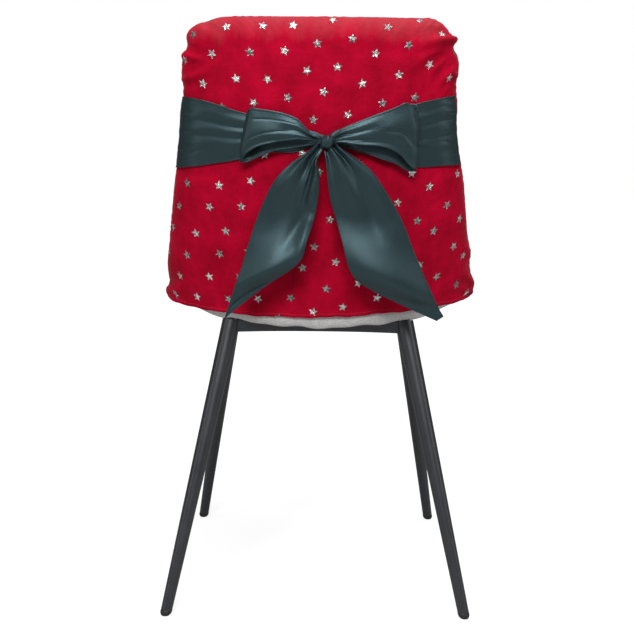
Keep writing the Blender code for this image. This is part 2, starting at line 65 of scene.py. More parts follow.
camera = bpy.data.objects.new("camera", bpy.data.cameras.new("camera"))
camera.data.lens = 65.07
camera.data.sensor_width = 36.0
camera.matrix_world = (
    Matrix.Translation(CAMERA_PLACE)
    @ Matrix.Rotation(0.5 * math.pi - LOOK_DOWN, 4, "X")
    @ Matrix.Rotation(CAMERA_ROLL, 4, "Z")
)
bpy.context.scene.collection.objects.link(camera)
bpy.context.scene.camera = camera
bpy.context.scene.view_settings.view_transform = "Standard"
print("camera at", [round(c, 3) for c in CAMERA_PLACE])


# %% The lights
def add_light(name, place, aim, size, power):
    """A large soft rectangle of white light that points at a place."""
    light = bpy.data.lights.new(name, "AREA")
    light.shape = "RECTANGLE"
    light.size, light.size_y = size
    light.energy = power
    lamp = bpy.data.objects.new(name, light)
    way = Vector(aim) - Vector(place)
    turn = way.to_track_quat("-Z", "Y").to_matrix().to_4x4()
    lamp.matrix_world = Matrix.Translation(place) @ turn
    bpy.context.scene.collection.objects.link(lamp)


add_light("light_key", (-0.15, -2.40, 2.20), (0.0, -0.15, 0.58), (1.4, 0.7), 62.0)
add_light("light_over", (0.2, -0.3, 2.4), (0.0, -0.1, 0.60), (1.8, 1.0), 26.0)
add_light("light_left", (-2.3, -1.2, 1.1), (0.0, -0.2, 0.60), (0.7, 1.8), 7.0)
add_light("light_right", (2.3, -1.0, 1.3), (0.0, -0.2, 0.60), (0.7, 1.8), 9.0)

# The studio's white walls light the chair softly, and the camera sees them as plain white.
world = bpy.data.worlds.new("studio")
world.use_nodes = True
wall = world.node_tree.nodes["Background"]
wall.inputs["Color"].default_value = (1.0, 1.0, 1.0, 1.0)
seen = world.node_tree.nodes.new("ShaderNodeLightPath")
glow = world.node_tree.nodes.new("ShaderNodeMapRange")
glow.inputs["To Min"].default_value = 0.15
glow.inputs["To Max"].default_value = 1.0
world.node_tree.links.new(seen.outputs["Is Camera Ray"], glow.inputs["Value"])
world.node_tree.links.new(glow.outputs[0], wall.inputs["Strength"])
bpy.context.scene.world = world

# %% [markdown]
# ## The finishes
#
# Every finish is one Principled shader fed by a few pattern nodes. A small class keeps the
# node trees short: it makes a node, sets its options, and feeds its sockets with numbers or
# with other nodes' outputs. Cloth patterns read the cloth's own coordinates in metres, so
# they follow the fabric round an edge. Hard finishes read the object's coordinates.


# %% A helper for finishes
class Finish:
    """A material with one Principled shader and the nodes that feed it."""

    def __init__(self, name, **sockets):
        self.material = bpy.data.materials.new(name)
        self.material.use_nodes = True
        self.tree = self.material.node_tree
        self.shader = self.tree.nodes["Principled BSDF"]
        for key, value in sockets.items():
            self.feed(self.shader.inputs[key.replace("_", " ")], value)

    def feed(self, socket, value):
        """Links a socket to another node's output, or sets its number."""
        if isinstance(value, bpy.types.NodeSocket):
            self.tree.links.new(value, socket)
        elif isinstance(value, tuple) and len(value) == 3 and socket.type == "RGBA":
            socket.default_value = (*value, 1.0)
        else:
            socket.default_value = value

    def node(self, kind, inputs=(), **settings):
        made = self.tree.nodes.new("ShaderNode" + kind)
        for key, value in settings.items():
            setattr(made, key, value)
        for key, value in dict(inputs).items():
            self.feed(made.inputs[key], value)
        return made

    def math(self, operation, *values, clamp=False):
        made = self.node("Math", operation=operation, use_clamp=clamp)
        for socket, value in zip(made.inputs, values):
            self.feed(socket, value)
        return made.outputs[0]

    def place(self, kind="Object", scale=(1.0, 1.0, 1.0), turn=0.0):
        """Object coordinates, or the cloth's own, scaled and turned."""
        source = self.node("TexCoord").outputs[kind]
        return self.node("Mapping", {"Vector": source, "Scale": scale,
                                     "Rotation": (0.0, 0.0, turn)}).outputs[0]

    def noise(self, place, scale, detail=2.0, roughness=0.5):
        return self.node("TexNoise", {"Vector": place, "Scale": scale, "Detail": detail,
                                      "Roughness": roughness}).outputs["Fac"]

    def band(self, value, low, high, to_low=0.0, to_high=1.0):
        """Stretches a value from one range to another, and clips it there."""
        return self.node("MapRange", {"Value": value, "From Min": low, "From Max": high,
                                      "To Min": to_low, "To Max": to_high}).outputs[0]

    def blend(self, share, first, second):
        """Mixes two colours."""
        made = self.node("Mix", data_type="RGBA", clamp_factor=True)
        self.feed(made.inputs[0], share)
        self.feed(made.inputs[6], first)
        self.feed(made.inputs[7], second)
        return made.outputs[2]

    def bump(self, *layers):
        """Stacks relief: each layer is a height and how many metres it stands for."""
        normal = None
        for height, depth in layers:
            made = self.node("Bump", {"Height": height, "Distance": depth, "Strength": 1.0})
            if normal is not None:
                self.feed(made.inputs["Normal"], normal)
            normal = made.outputs[0]
        self.feed(self.shader.inputs["Normal"], normal)


# %% [markdown]
# ### Red velvet with foil stars
#
# Velvet is a short dense pile. It looks deep red face on and blooms pale where it turns
# away, which is what the shader's sheen does, and hands leave cloudy marks where they lay
# the pile down. Along the top edge the red is blended towards pink: a painted sheen that
# stands in for the light the nap catches where the cloth rounds over. The print is a
# scatter of small five-pointed stars in silver foil. The scatter is a slanted lattice: each
# cell holds one star, and random numbers that belong to the cell nudge it, turn it and say
# how bright its foil is.

# %% Red velvet
STAR_RADIUS = 0.0071
STAR_WAIST = 0.46              # inner radius as a share of the outer one
STAR_STEP_DOWN = (-0.0180, -0.0380)
STAR_STEP_ACROSS = (0.0480, 0.0095)
STAR_START = (-0.0340, 0.8200)
STAR_NUDGE = 0.0045
STAR_EDGE = 0.00022            # half the width of a star's soft outline

# heights between which the top edge fades into a painted pink sheen
TOP_SHEEN_LOW, TOP_SHEEN_HIGH = 0.836, 0.876


def star_mask(velvet, cloth):
    """Nodes for the scatter of stars: 1 on a star, and the cell's three random numbers."""
    det = STAR_STEP_ACROSS[0] * STAR_STEP_DOWN[1] - STAR_STEP_ACROSS[1] * STAR_STEP_DOWN[0]
    parts = velvet.node("SeparateXYZ", {"Vector": cloth}).outputs
    x = velvet.math("SUBTRACT", parts[0], STAR_START[0])
    y = velvet.math("SUBTRACT", parts[1], STAR_START[1])

    def step(along_x, along_y):
        first = velvet.math("MULTIPLY", x, along_x / det)
        return velvet.math("ROUND", velvet.math("MULTIPLY_ADD", y, along_y / det, first))

    across = step(STAR_STEP_DOWN[1], -STAR_STEP_DOWN[0])
    down = step(-STAR_STEP_ACROSS[1], STAR_STEP_ACROSS[0])
    cell = velvet.node("CombineXYZ", {"X": across, "Y": down, "Z": 7.0}).outputs[0]
    chance = velvet.node("TexWhiteNoise", {"Vector": cell}, noise_dimensions="3D")
    chance = velvet.node("SeparateColor", {"Color": chance.outputs["Color"]}).outputs

    def from_centre(value, axis, luck):
        value = velvet.math("MULTIPLY_ADD", across, -STAR_STEP_ACROSS[axis], value)
        value = velvet.math("MULTIPLY_ADD", down, -STAR_STEP_DOWN[axis], value)
        nudge = velvet.math("MULTIPLY_ADD", luck, 2.0 * STAR_NUDGE, -STAR_NUDGE)
        return velvet.math("SUBTRACT", value, nudge)

    dx = from_centre(x, 0, chance[0])
    dy = from_centre(y, 1, chance[1])
    far = velvet.math("SQRT", velvet.math("MULTIPLY_ADD", dx, dx, velvet.math("MULTIPLY", dy, dy)))
    turn = velvet.math("MULTIPLY_ADD", chance[2], 2.0 * math.pi, velvet.math("ARCTAN2", dy, dx))
    fifth = 2.0 * math.pi / 5.0
    turn = velvet.math("PINGPONG", velvet.math("ADD", turn, 4.0 * math.pi), 0.5 * fifth)
    edge_x = STAR_WAIST * math.sin(0.5 * fifth)
    edge_y = 1.0 - STAR_WAIST * math.cos(0.5 * fifth)
    length = math.hypot(edge_x, edge_y)
    edge_x, edge_y = edge_x / length, edge_y / length
    out = velvet.math("MULTIPLY", far, velvet.math("COSINE", turn))
    side = velvet.math("MULTIPLY", far, velvet.math("SINE", turn))
    gap = velvet.math("MULTIPLY_ADD", out, edge_x, velvet.math("MULTIPLY", side, edge_y))
    gap = velvet.math("SUBTRACT", gap, STAR_RADIUS * edge_x)
    return velvet.band(gap, STAR_EDGE, -STAR_EDGE), chance


def make_velvet():
    velvet = Finish("red_velvet", Sheen_Weight=0.30, Sheen_Roughness=0.26,
                    Sheen_Tint=(1.0, 0.40, 0.46), Specular_IOR_Level=0.06)
    cloth = velvet.place("UV")
    star, chance = star_mask(velvet, cloth)
    clouds = velvet.noise(cloth, 17.0, 4.0, 0.62)
    strokes = velvet.noise(velvet.place("UV", (1.0, 0.42, 1.0), 0.7), 46.0, 3.0, 0.6)
    nap = velvet.math("MULTIPLY_ADD", strokes, 0.35, velvet.math("MULTIPLY", clouds, 0.65))
    red = velvet.blend(velvet.band(nap, 0.36, 0.64), (0.330, 0.0002, 0.0140),
                       (0.560, 0.0008, 0.0290))
    # Painted sheen: near the top edge the red is blended towards a pale pink, standing in for the
    # light that the nap catches there.
    height = velvet.node("SeparateXYZ", {"Vector": velvet.place("Object")}).outputs["Z"]
    wander = velvet.noise(velvet.place("UV", (1.0, 0.35, 1.0)), 38.0, 3.0, 0.6)
    painted_top_sheen = velvet.math("MULTIPLY_ADD", wander, 0.055, height)
    painted_top_sheen = velvet.band(painted_top_sheen, TOP_SHEEN_LOW, TOP_SHEEN_HIGH, 0.0, 0.85)
    red = velvet.blend(painted_top_sheen, red, (0.430, 0.048, 0.063))
    pile = velvet.noise(cloth, 1500.0, 2.0, 0.7)
    red = velvet.blend(velvet.band(pile, 0.30, 0.75, 0.25, 0.0), red, (0.120, 0.0, 0.004))
    crackle = velvet.noise(cloth, 230.0, 2.0, 0.6)
    bright = velvet.band(chance[2], 0.0, 1.0, 0.34, 0.96)
    bright = velvet.math("MULTIPLY", bright, velvet.band(crackle, 0.40, 0.56, 0.38, 1.0))
    foil = velvet.node("CombineColor", {"Red": bright,
                                        "Green": velvet.math("MULTIPLY", bright, 0.965),
                                        "Blue": velvet.math("MULTIPLY", bright, 0.945)})
    velvet.feed(velvet.shader.inputs["Base Color"],
                velvet.blend(star, red, foil.outputs[0]))
    velvet.feed(velvet.shader.inputs["Metallic"], velvet.math("MULTIPLY", star, 0.80))
    velvet.feed(velvet.shader.inputs["Roughness"], velvet.band(star, 0.0, 1.0, 0.80, 0.34))
    laid = velvet.noise(cloth, 64.0, 3.0, 0.55)
    velvet.bump((laid, 0.0016), (pile, 0.00022), (star, 0.00016),
                (velvet.math("MULTIPLY", crackle, star), 0.0022))
    return velvet.material


red_velvet = make_velvet()
print("finish", red_velvet.name)

# %% [markdown]
# ### Green satin
#
# Satin weave floats its threads along the ribbon, so it is smooth and glossy with soft
# edges to its highlights. Fine streaks run along the ribbon where threads lie unevenly.


# %% Green satin
def make_satin():
    satin = Finish("green_satin", Sheen_Weight=0.02, Sheen_Roughness=0.40,
                   Sheen_Tint=(0.72, 0.86, 0.90), Specular_IOR_Level=1.0,
                   Specular_Tint=(0.56, 0.90, 1.0))
    cloth = satin.place("UV")
    streaks = satin.noise(satin.place("UV", (26.0, 1.0, 1.0)), 60.0, 3.0, 0.6)
    clouds = satin.noise(cloth, 24.0, 2.0)
    threads = satin.noise(satin.place("UV", (9.0, 1.0, 1.0)), 420.0, 1.0)
    shade = satin.math("MULTIPLY_ADD", streaks, 0.55, satin.math("MULTIPLY", clouds, 0.45))
    satin.feed(satin.shader.inputs["Base Color"],
               satin.blend(satin.band(shade, 0.36, 0.64), (0.0020, 0.0062, 0.0074),
                           (0.0042, 0.0105, 0.0122)))
    satin.feed(satin.shader.inputs["Roughness"], satin.band(streaks, 0.3, 0.7, 0.40, 0.48))
    satin.bump((streaks, 0.00018), (threads, 0.00005))
    return satin.material


green_satin = make_satin()
print("finish", green_satin.name)

# %% [markdown]
# ### Grey upholstery, black metal, plastic and the dust cloth
#
# The seat wears a flat woven grey cloth. Two sets of stretched noise, one for the warp and
# one for the weft, give its slubs. The steel is powder coated, which leaves a fine
# orange-peel skin. The glides are moulded plastic, and the underside is closed with a black
# non-woven cloth that is pressed with tiny dimples.


# %% The chair's finishes
def make_upholstery():
    weave = Finish("grey_upholstery", Sheen_Weight=0.25, Sheen_Roughness=0.5,
                   Sheen_Tint=(1.0, 0.98, 0.96), Specular_IOR_Level=0.25, Roughness=0.9)
    warp = weave.noise(weave.place("Object", (0.10, 1.0, 1.0)), 900.0, 2.0)
    weft = weave.noise(weave.place("Object", (1.0, 0.10, 1.0)), 900.0, 2.0)
    yarn = weave.math("MAXIMUM", warp, weft)
    mottle = weave.noise(weave.place(), 38.0, 3.0)
    shade = weave.math("MULTIPLY_ADD", mottle, 0.03, weave.math("MULTIPLY", yarn, 0.97))
    weave.feed(weave.shader.inputs["Base Color"],
               weave.blend(weave.band(shade, 0.42, 0.66), (0.41, 0.40, 0.395),
                           (0.67, 0.655, 0.64)))
    weave.bump((mottle, 0.0003), (yarn, 0.0006))
    return weave.material


def make_powder_coat():
    coat = Finish("black_metal", Specular_IOR_Level=1.0, Specular_Tint=(0.90, 0.94, 1.0),
                  Coat_Weight=0.15, Coat_Roughness=0.3)
    peel = coat.noise(coat.place(), 850.0, 2.0)
    wear = coat.noise(coat.place(), 22.0, 4.0)
    coat.feed(coat.shader.inputs["Base Color"],
              coat.blend(coat.band(wear, 0.35, 0.7), (0.004, 0.004, 0.006),
                         (0.009, 0.009, 0.012)))
    coat.feed(coat.shader.inputs["Roughness"], coat.band(wear, 0.3, 0.7, 0.38, 0.46))
    coat.bump((peel, 0.00012))
    return coat.material


def make_plastic():
    plastic = Finish("black_plastic", Specular_IOR_Level=0.45)
    grain = plastic.noise(plastic.place(), 1400.0, 2.0)
    plastic.feed(plastic.shader.inputs["Base Color"],
                 plastic.blend(grain, (0.012, 0.012, 0.013), (0.024, 0.024, 0.025)))
    plastic.feed(plastic.shader.inputs["Roughness"], plastic.band(grain, 0.3, 0.7, 0.5, 0.68))
    plastic.bump((grain, 0.00008))
    return plastic.material


def make_dust_cloth():
    cloth = Finish("black_dust_cloth", Specular_IOR_Level=0.3, Roughness=0.85)
    dimples = cloth.node("TexVoronoi", {"Vector": cloth.place(), "Scale": 420.0}).outputs[0]
    fibres = cloth.noise(cloth.place(), 260.0, 4.0, 0.7)
    cloth.feed(cloth.shader.inputs["Base Color"],
               cloth.blend(fibres, (0.010, 0.010, 0.011), (0.040, 0.040, 0.042)))
    cloth.bump((fibres, 0.0003), (dimples, 0.0003))
    return cloth.material


def make_thread():
    thread = Finish("red_thread", Sheen_Weight=0.3, Specular_IOR_Level=0.35, Roughness=0.6)
    ply = thread.noise(thread.place(), 2600.0, 1.0)
    thread.feed(thread.shader.inputs["Base Color"],
                thread.blend(ply, (0.30, 0.002, 0.016), (0.56, 0.010, 0.045)))
    thread.bump((ply, 0.0001))
    return thread.material


grey_upholstery = make_upholstery()
black_metal = make_powder_coat()
black_plastic = make_plastic()
dust_cloth = make_dust_cloth()
red_thread = make_thread()
print("finishes", len(bpy.data.materials))


# %% The floor
FLOOR_HALF = 14.0


def add_piece(name, bm, finish):
    """Turns a finished bmesh into an object that wears a finish."""
    mesh = bpy.data.meshes.new(name)
    bm.to_mesh(mesh)
    bm.free()
    mesh.materials.append(finish)
    piece = bpy.data.objects.new(name, mesh)
    bpy.context.scene.collection.objects.link(piece)
    return piece


def make_floor():
    """A pale floor that brightens with distance until it meets the white walls."""
    pale = Finish("pale_floor", Specular_IOR_Level=0.2, Emission_Color=(1.0, 1.0, 1.0))
    dust = pale.noise(pale.place(), 3.0, 3.0)
    pale.feed(pale.shader.inputs["Base Color"],
              pale.blend(dust, (0.46, 0.46, 0.46), (0.49, 0.49, 0.49)))
    pale.feed(pale.shader.inputs["Roughness"], pale.band(dust, 0.3, 0.7, 0.75, 0.9))
    far = pale.node("VectorMath", {0: pale.place()}, operation="LENGTH").outputs["Value"]
    seen = pale.node("LightPath").outputs["Is Camera Ray"]
    glow = pale.math("MULTIPLY", pale.band(far, 0.3, 2.6, 0.74, 1.0), seen)
    pale.feed(pale.shader.inputs["Emission Strength"], glow)
    bm = bmesh.new()
    bmesh.ops.create_grid(bm, x_segments=40, y_segments=40, size=FLOOR_HALF)
    floor = add_piece("floor", bm, pale.material)


make_floor()

# %% [markdown]
# ## The shape of the padded back
#
# The cover, the sash and the padding all follow one surface: the chair's padded back. It is
# described by a short table of heights, so a piece of cloth is placed by saying how far
# across it is, how high, and how far above the padding it lies. Working on whole arrays of
# points keeps fine grids fast.

# %% Smooth curves through tables
TOP_Z = 0.8415
CORNER_RADIUS = 0.044
EDGE_RADIUS = 0.034
BACK_HALF_THICKNESS = 0.0225
SIDE_POWER = 2.4
CORNER_CENTRE_X, CORNER_CENTRE_Z = 0.1455, 0.7975

Level = namedtuple("Level", "z back half_width wrap")
BACK_LEVELS = (
    Level(0.400, -0.1565, 0.2370, 0.118),
    Level(0.430, -0.1625, 0.2345, 0.113),
    Level(0.470, -0.1715, 0.2275, 0.100),
    Level(0.520, -0.1815, 0.2190, 0.085),
    Level(0.600, -0.1945, 0.2080, 0.070),
    Level(0.700, -0.2065, 0.1955, 0.058),
    Level(0.760, -0.2120, 0.1900, 0.051),
    Level(0.850, -0.2185, 0.1885, 0.045),
)


def along(knots, values, at):
    """A smooth curve through the values, read at many places at once."""
    knots, values = np.asarray(knots, float), np.asarray(values, float)
    at = np.clip(np.asarray(at, float), knots[0], knots[-1])
    i = np.clip(np.searchsorted(knots, at, side="right") - 1, 0, len(knots) - 2)
    before, after = np.maximum(i - 1, 0), np.minimum(i + 2, len(knots) - 1)
    span = knots[i + 1] - knots[i]
    slope0 = (values[i + 1] - values[before]) / (knots[i + 1] - knots[before]) * span
    slope1 = (values[after] - values[i]) / (knots[after] - knots[i]) * span
    t = (at - knots[i]) / span
    rise = values[i + 1] - values[i]
    return values[i] + t * slope0 + t ** 2 * (3 * rise - 2 * slope0 - slope1) \
        + t ** 3 * (slope0 + slope1 - 2 * rise)


def read_rows(rows, knots, at):
    """Every column of a table, read at many places between its rows."""
    return [along(knots, column, at) for column in zip(*rows)]


def even_knots(rows):
    """Places 0 to 1 for a table's rows, spaced by the distance between them."""
    steps = [math.dist(a, b) for a, b in zip(rows, rows[1:])]
    return np.concatenate([[0.0], np.cumsum(steps)]) / sum(steps)


def ease(t):
    """0 to 1 with soft ends."""
    t = np.clip(t, 0.0, 1.0)
    return t * t * (3.0 - 2.0 * t)


def ripple(x, z, size, seed, count=9):
    """Soft irregular waves between about -1 and 1, with crests about `size` apart."""
    dice = np.random.default_rng(seed)
    total = np.zeros(np.broadcast(x, z).shape)
    for _ in range(count):
        turn, phase = dice.uniform(0.0, 2.0 * math.pi, 2)
        pace = 2.0 * math.pi / (size * dice.uniform(0.7, 1.6))
        total += np.cos(pace * (x * math.cos(turn) + z * math.sin(turn)) + phase)
    return total / math.sqrt(2.0 * count)


# %% [markdown]
# A sewn cover is never quite the shape of its padding. Along the seam it is tucked in at
# some places and stands proud at others. Each row of this table pulls the outline inwards
# around one place, or pushes it outwards where the pull is negative.

# %% The padded surface
Tuck = namedtuple("Tuck", "x z reach pull")
TUCKS = (
    Tuck(-0.157, 0.843, 0.020, 0.0040),
    Tuck(-0.185, 0.822, 0.010, -0.0010),
    Tuck(-0.191, 0.808, 0.012, 0.0048),
    Tuck(-0.196, 0.772, 0.013, -0.0022),
    Tuck(-0.197, 0.741, 0.014, 0.0018),
    Tuck(0.150, 0.846, 0.022, -0.0010),
    Tuck(0.174, 0.836, 0.016, 0.0030),
    Tuck(0.191, 0.808, 0.009, 0.0058),
    Tuck(0.194, 0.752, 0.016, 0.0030),
    Tuck(-0.200, 0.688, 0.044, 0.0032),
    Tuck(0.200, 0.688, 0.044, 0.0058),
    Tuck(-0.232, 0.470, 0.018, 0.0050),
    Tuck(0.224, 0.517, 0.020, -0.0022),
    Tuck(0.233, 0.4630, 0.012, -0.0042),
)


def back_levels(z):
    """Rearmost y, half width and wrap of the padded back at each height."""
    return read_rows([row[1:] for row in BACK_LEVELS], [row.z for row in BACK_LEVELS], z)


def back_surface(s, z, side, grow):
    """Points of cloth that lies `grow` above the padding, and the way out of it there.

    s runs from -1 to 1 between the side edges, side is -1 behind and +1 in front.
    """
    rear_y, half_width, wrap = back_levels(z)
    top, radius, full = TOP_Z + grow, CORNER_RADIUS + grow, half_width + grow
    above = np.maximum(0.0, z - (top - radius))
    outline = full - radius + np.sqrt(np.maximum(0.0, radius ** 2 - above ** 2))
    x = s * outline
    in_x, in_z = full - np.abs(x), top - z
    corner = radius - np.hypot(radius - in_x, radius - in_z)
    inward = np.where((in_x < radius) & (in_z < radius), corner, np.minimum(in_x, in_z))
    rest = 1.0 - np.clip(inward / (EDGE_RADIUS + grow), 0.0, 1.0)
    facing = np.sqrt(np.maximum(0.0, 1.0 - rest ** 2))
    middle = rear_y + BACK_HALF_THICKNESS
    middle = middle + (wrap - BACK_HALF_THICKNESS) * np.abs(x / full) ** SIDE_POWER
    y = middle + side * (BACK_HALF_THICKNESS + grow) * facing
    out_x = x - np.clip(x, radius - full, full - radius)
    out_z = z - np.minimum(z, top - radius)
    length = np.maximum(np.hypot(out_x, out_z), 1e-9)
    out = np.stack([out_x / length * rest, side * facing, out_z / length * rest], -1)
    pull_x, pull_z = np.zeros_like(x), np.zeros_like(x)
    for tuck in TUCKS:
        toward_x = np.clip(tuck.x, -CORNER_CENTRE_X, CORNER_CENTRE_X) - tuck.x
        toward_z = min(tuck.z, CORNER_CENTRE_Z) - tuck.z
        size = math.hypot(toward_x, toward_z)
        near = tuck.pull * np.exp(-((x - tuck.x) ** 2 + (z - tuck.z) ** 2) / tuck.reach ** 2)
        pull_x += near * toward_x / size
        pull_z += near * toward_z / size
    return np.stack([x + pull_x, y, z + pull_z], -1), out, rest


# %% [markdown]
# ## Laying cloth
#
# A sheet of cloth is a grid of quads whose corners are moved onto the surface, then
# thickened inwards by Solidify. Its texture coordinates are distances measured along the
# cloth in metres, so a print or a weave keeps its size wherever the cloth bends.


# %% A sheet of cloth
def cloth_distances(points, top=0.0):
    """Distances along the cloth: across from its middle column, and down from its top row."""
    across = np.linalg.norm(np.diff(points, axis=1), axis=2)
    across = np.concatenate([np.zeros((len(points), 1)), np.cumsum(across, axis=1)], axis=1)
    across -= across[:, points.shape[1] // 2][:, None]
    up = np.linalg.norm(np.diff(points, axis=0), axis=2)
    up = np.concatenate([np.zeros((1, points.shape[1])), np.cumsum(up, axis=0)], axis=0)
    return np.stack([across, top + up - up[-1]], -1)


def surface_normals(points):
    """The direction that each corner of a grid faces."""
    facing = np.cross(np.gradient(points, axis=1), np.gradient(points, axis=0))
    return facing / np.maximum(np.linalg.norm(facing, axis=2, keepdims=True), 1e-12)


def lay_cloth(name, points, cloth, thickness, finish):
    """A grid through the given points, rows from the bottom up, thickened inwards."""
    bm = bmesh.new()
    bmesh.ops.create_grid(bm, x_segments=points.shape[1] - 1, y_segments=points.shape[0] - 1,
                          size=0.5)
    sheet = add_piece(name, bm, finish)
    mesh = sheet.data
    mesh.vertices.foreach_set("co", points.reshape(-1))
    corners = np.empty(len(mesh.loops), dtype=np.int32)
    mesh.loops.foreach_get("vertex_index", corners)
    mesh.uv_layers.new(name="cloth").data.foreach_set(
        "uv", cloth.reshape(-1, 2)[corners].reshape(-1))
    mesh.shade_smooth()
    mesh.update()
    if thickness:
        solidify = sheet.modifiers.new("cloth", "SOLIDIFY")
        solidify.thickness = thickness
        solidify.offset = -1.0
    return sheet


def sheet_size(points):
    """The mean width, the mean length and the area of a grid."""
    across = np.linalg.norm(np.diff(points, axis=1), axis=2)
    up = np.linalg.norm(np.diff(points, axis=0), axis=2)
    area = float(np.sum(0.25 * (across[1:] + across[:-1]) * (up[:, 1:] + up[:, :-1])))
    return float(across.sum(1).mean()), float(up.sum(0).mean()), area


def declare(piece, slot, *nodes):
    """Puts a piece in the body it moves with and hides what it replaces; the slot is not used."""
    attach(piece, "root")
    if nodes:
        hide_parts(*nodes)
    print(piece.name, len(piece.data.polygons), "faces")


# %% [markdown]
# ## The velvet cover
#
# The back panel shows the bow and the print. Creases are laid along listed lines:
# every line presses a soft groove, with a low ridge beside it where the cloth bunches.
# The seam pulls the panels into small puckers along the top and the sides, and the hem is
# a turned double edge held by a row of stitches.

# %% Creases and puckers
VELVET = 0.0016
COVER_GROW = 0.0035
SEAM_GAP = 0.00025
HEM_TURN = 0.0070              # height of the turned edge
HEM_STITCH = 0.0055            # the stitch line above the edge
HEM_BAND = 2.2 * HEM_TURN      # height of the closely spaced rows at the hem
CREASE_GAIN = 1.5              # every crease is this many times as deep as its row says
PUCKER_PITCH = 0.0135
PUCKER_DEPTH = 0.0010

Crease = namedtuple("Crease", "x0 z0 x1 z1 width depth ridge")
BACK_CREASES = (
    Crease(0.190, 0.810, 0.128, 0.790, 0.0055, 0.0040, 0.8),
    Crease(0.191, 0.806, 0.120, 0.757, 0.0065, 0.0038, 0.8),
    Crease(0.192, 0.800, 0.150, 0.742, 0.0060, 0.0032, 0.8),
    Crease(0.184, 0.826, 0.110, 0.815, 0.0060, 0.0016, 0.5),
    Crease(0.193, 0.765, 0.160, 0.742, 0.0050, 0.0016, 0.6),
    Crease(-0.191, 0.806, -0.140, 0.794, 0.0055, 0.0028, 0.8),
    Crease(-0.196, 0.770, -0.132, 0.803, 0.0070, 0.0030, 0.8),
    Crease(-0.195, 0.752, -0.158, 0.766, 0.0050, 0.0014, 0.6),
    Crease(-0.160, 0.842, -0.120, 0.822, 0.0070, 0.0014, 0.5),
    Crease(-0.233, 0.462, -0.192, 0.486, 0.0060, 0.0022, 0.7),
    Crease(-0.231, 0.447, -0.176, 0.454, 0.0065, 0.0018, 0.5),
    Crease(0.236, 0.458, 0.188, 0.478, 0.0060, 0.0024, 0.8),
    Crease(0.232, 0.448, 0.172, 0.457, 0.0060, 0.0018, 0.6),
    Crease(0.228, 0.500, 0.180, 0.512, 0.0080, 0.0012, 0.6),
    Crease(-0.120, 0.432, -0.132, 0.520, 0.0120, 0.0012, 0.4),
    Crease(0.075, 0.430, 0.060, 0.520, 0.0130, 0.0012, 0.4),
    Crease(0.140, 0.437, 0.170, 0.540, 0.0120, 0.0010, 0.4),
    Crease(-0.060, 0.620, -0.140, 0.560, 0.0120, 0.0010, 0.5),
    Crease(0.100, 0.620, 0.170, 0.570, 0.0120, 0.0010, 0.5),
    Crease(-0.200, 0.634, -0.110, 0.640, 0.0080, 0.0014, 0.6),
    Crease(0.200, 0.640, 0.130, 0.632, 0.0080, 0.0014, 0.6),
)


def crease_height(rows, x, z):
    """How far a set of creases lifts (or, below 0, presses) the cloth at each place."""
    total = np.zeros_like(x)
    for row in rows:
        run_x, run_z = row.x1 - row.x0, row.z1 - row.z0
        length = math.hypot(run_x, run_z)
        t = ((x - row.x0) * run_x + (z - row.z0) * run_z) / length ** 2
        aside = ((x - row.x0) * run_z - (z - row.z0) * run_x) / length / row.width
        aside = aside - 0.8 * np.sin(3.0 * np.clip(t, 0.0, 1.0))
        fade = ease((t + 0.10) / 0.2) * (1.0 - ease((t - 0.15) / 0.85))
        groove = -np.exp(-aside ** 2) + row.ridge * np.exp(-(aside - 1.7) ** 2)
        total += CREASE_GAIN * row.depth * fade * groove
    return total


def pucker_height(x, z, rest, seed):
    """Small gathers that run in from the seam and fade out over the rounded edge."""
    run = z - np.abs(x)
    wander = 0.004 * np.sin(run * 61.0 + seed) + 0.003 * np.sin(run * 143.0 + 2.0 * seed)
    fold = np.sin(2.0 * math.pi * (run + wander) / PUCKER_PITCH + np.sign(x) * 1.3)
    strength = 0.55 + 0.45 * np.sin(run * 47.0 + 3.0 * seed + np.sign(x))
    inland = np.clip(rest, 0.0, 1.0) ** 1.6 * (1.0 - 0.65 * np.clip(rest, 0.0, 1.0) ** 8)
    return PUCKER_DEPTH * strength * fold * inland


# %% [markdown]
# The rows of the back panel stand closer together at the hem, where the turned edge and the
# stitch line are narrow, and at the top, where the cloth rounds over.

# %% The back panel
Hem = namedtuple("Hem", "x z")
HEM = (
    Hem(-0.2360, 0.4515), Hem(-0.2264, 0.4430), Hem(-0.2046, 0.4362), Hem(-0.1695, 0.4324),
    Hem(-0.1124, 0.4283), Hem(-0.0400, 0.4265), Hem(0.0300, 0.4280), Hem(0.0916, 0.4323),
    Hem(0.1342, 0.4356), Hem(0.1855, 0.4412), Hem(0.2211, 0.4462), Hem(0.2360, 0.4515),
)
BACK_COLUMNS, BACK_HEM_ROWS, BACK_ROWS = 210, 18, 132


def climb(hem_z, hem_rows, rows):
    """Heights of the rows of a panel, from its hem to the top seam, for every column."""
    top = TOP_Z + COVER_GROW
    low = np.linspace(0.0, HEM_BAND, hem_rows + 1)[:, None]
    left = 1.0 - np.linspace(0.0, 1.0, rows + 1)[1:]
    share = 1.0 - 1.35 * left ** 2 / (0.35 + left)
    start = hem_z + low[-1]
    return np.concatenate([hem_z + low, start + (top - start) * share[:, None]], axis=0)


def hem_height(above, x):
    """The turned edge: a doubled band that stands proud, dented by the stitch line."""
    band = 1.0 - ease((above - HEM_TURN) / 0.0012)
    roll = -0.0010 * np.exp(-(above / 0.0012) ** 2)
    stitch = -0.0011 * np.exp(-((above - HEM_STITCH) / 0.0010) ** 2)
    puffs = 0.00035 * np.sin(2.0 * math.pi * x / 0.0105 + 3.0 * np.sin(x * 55.0))
    return 0.0006 * band + roll + stitch + puffs * band


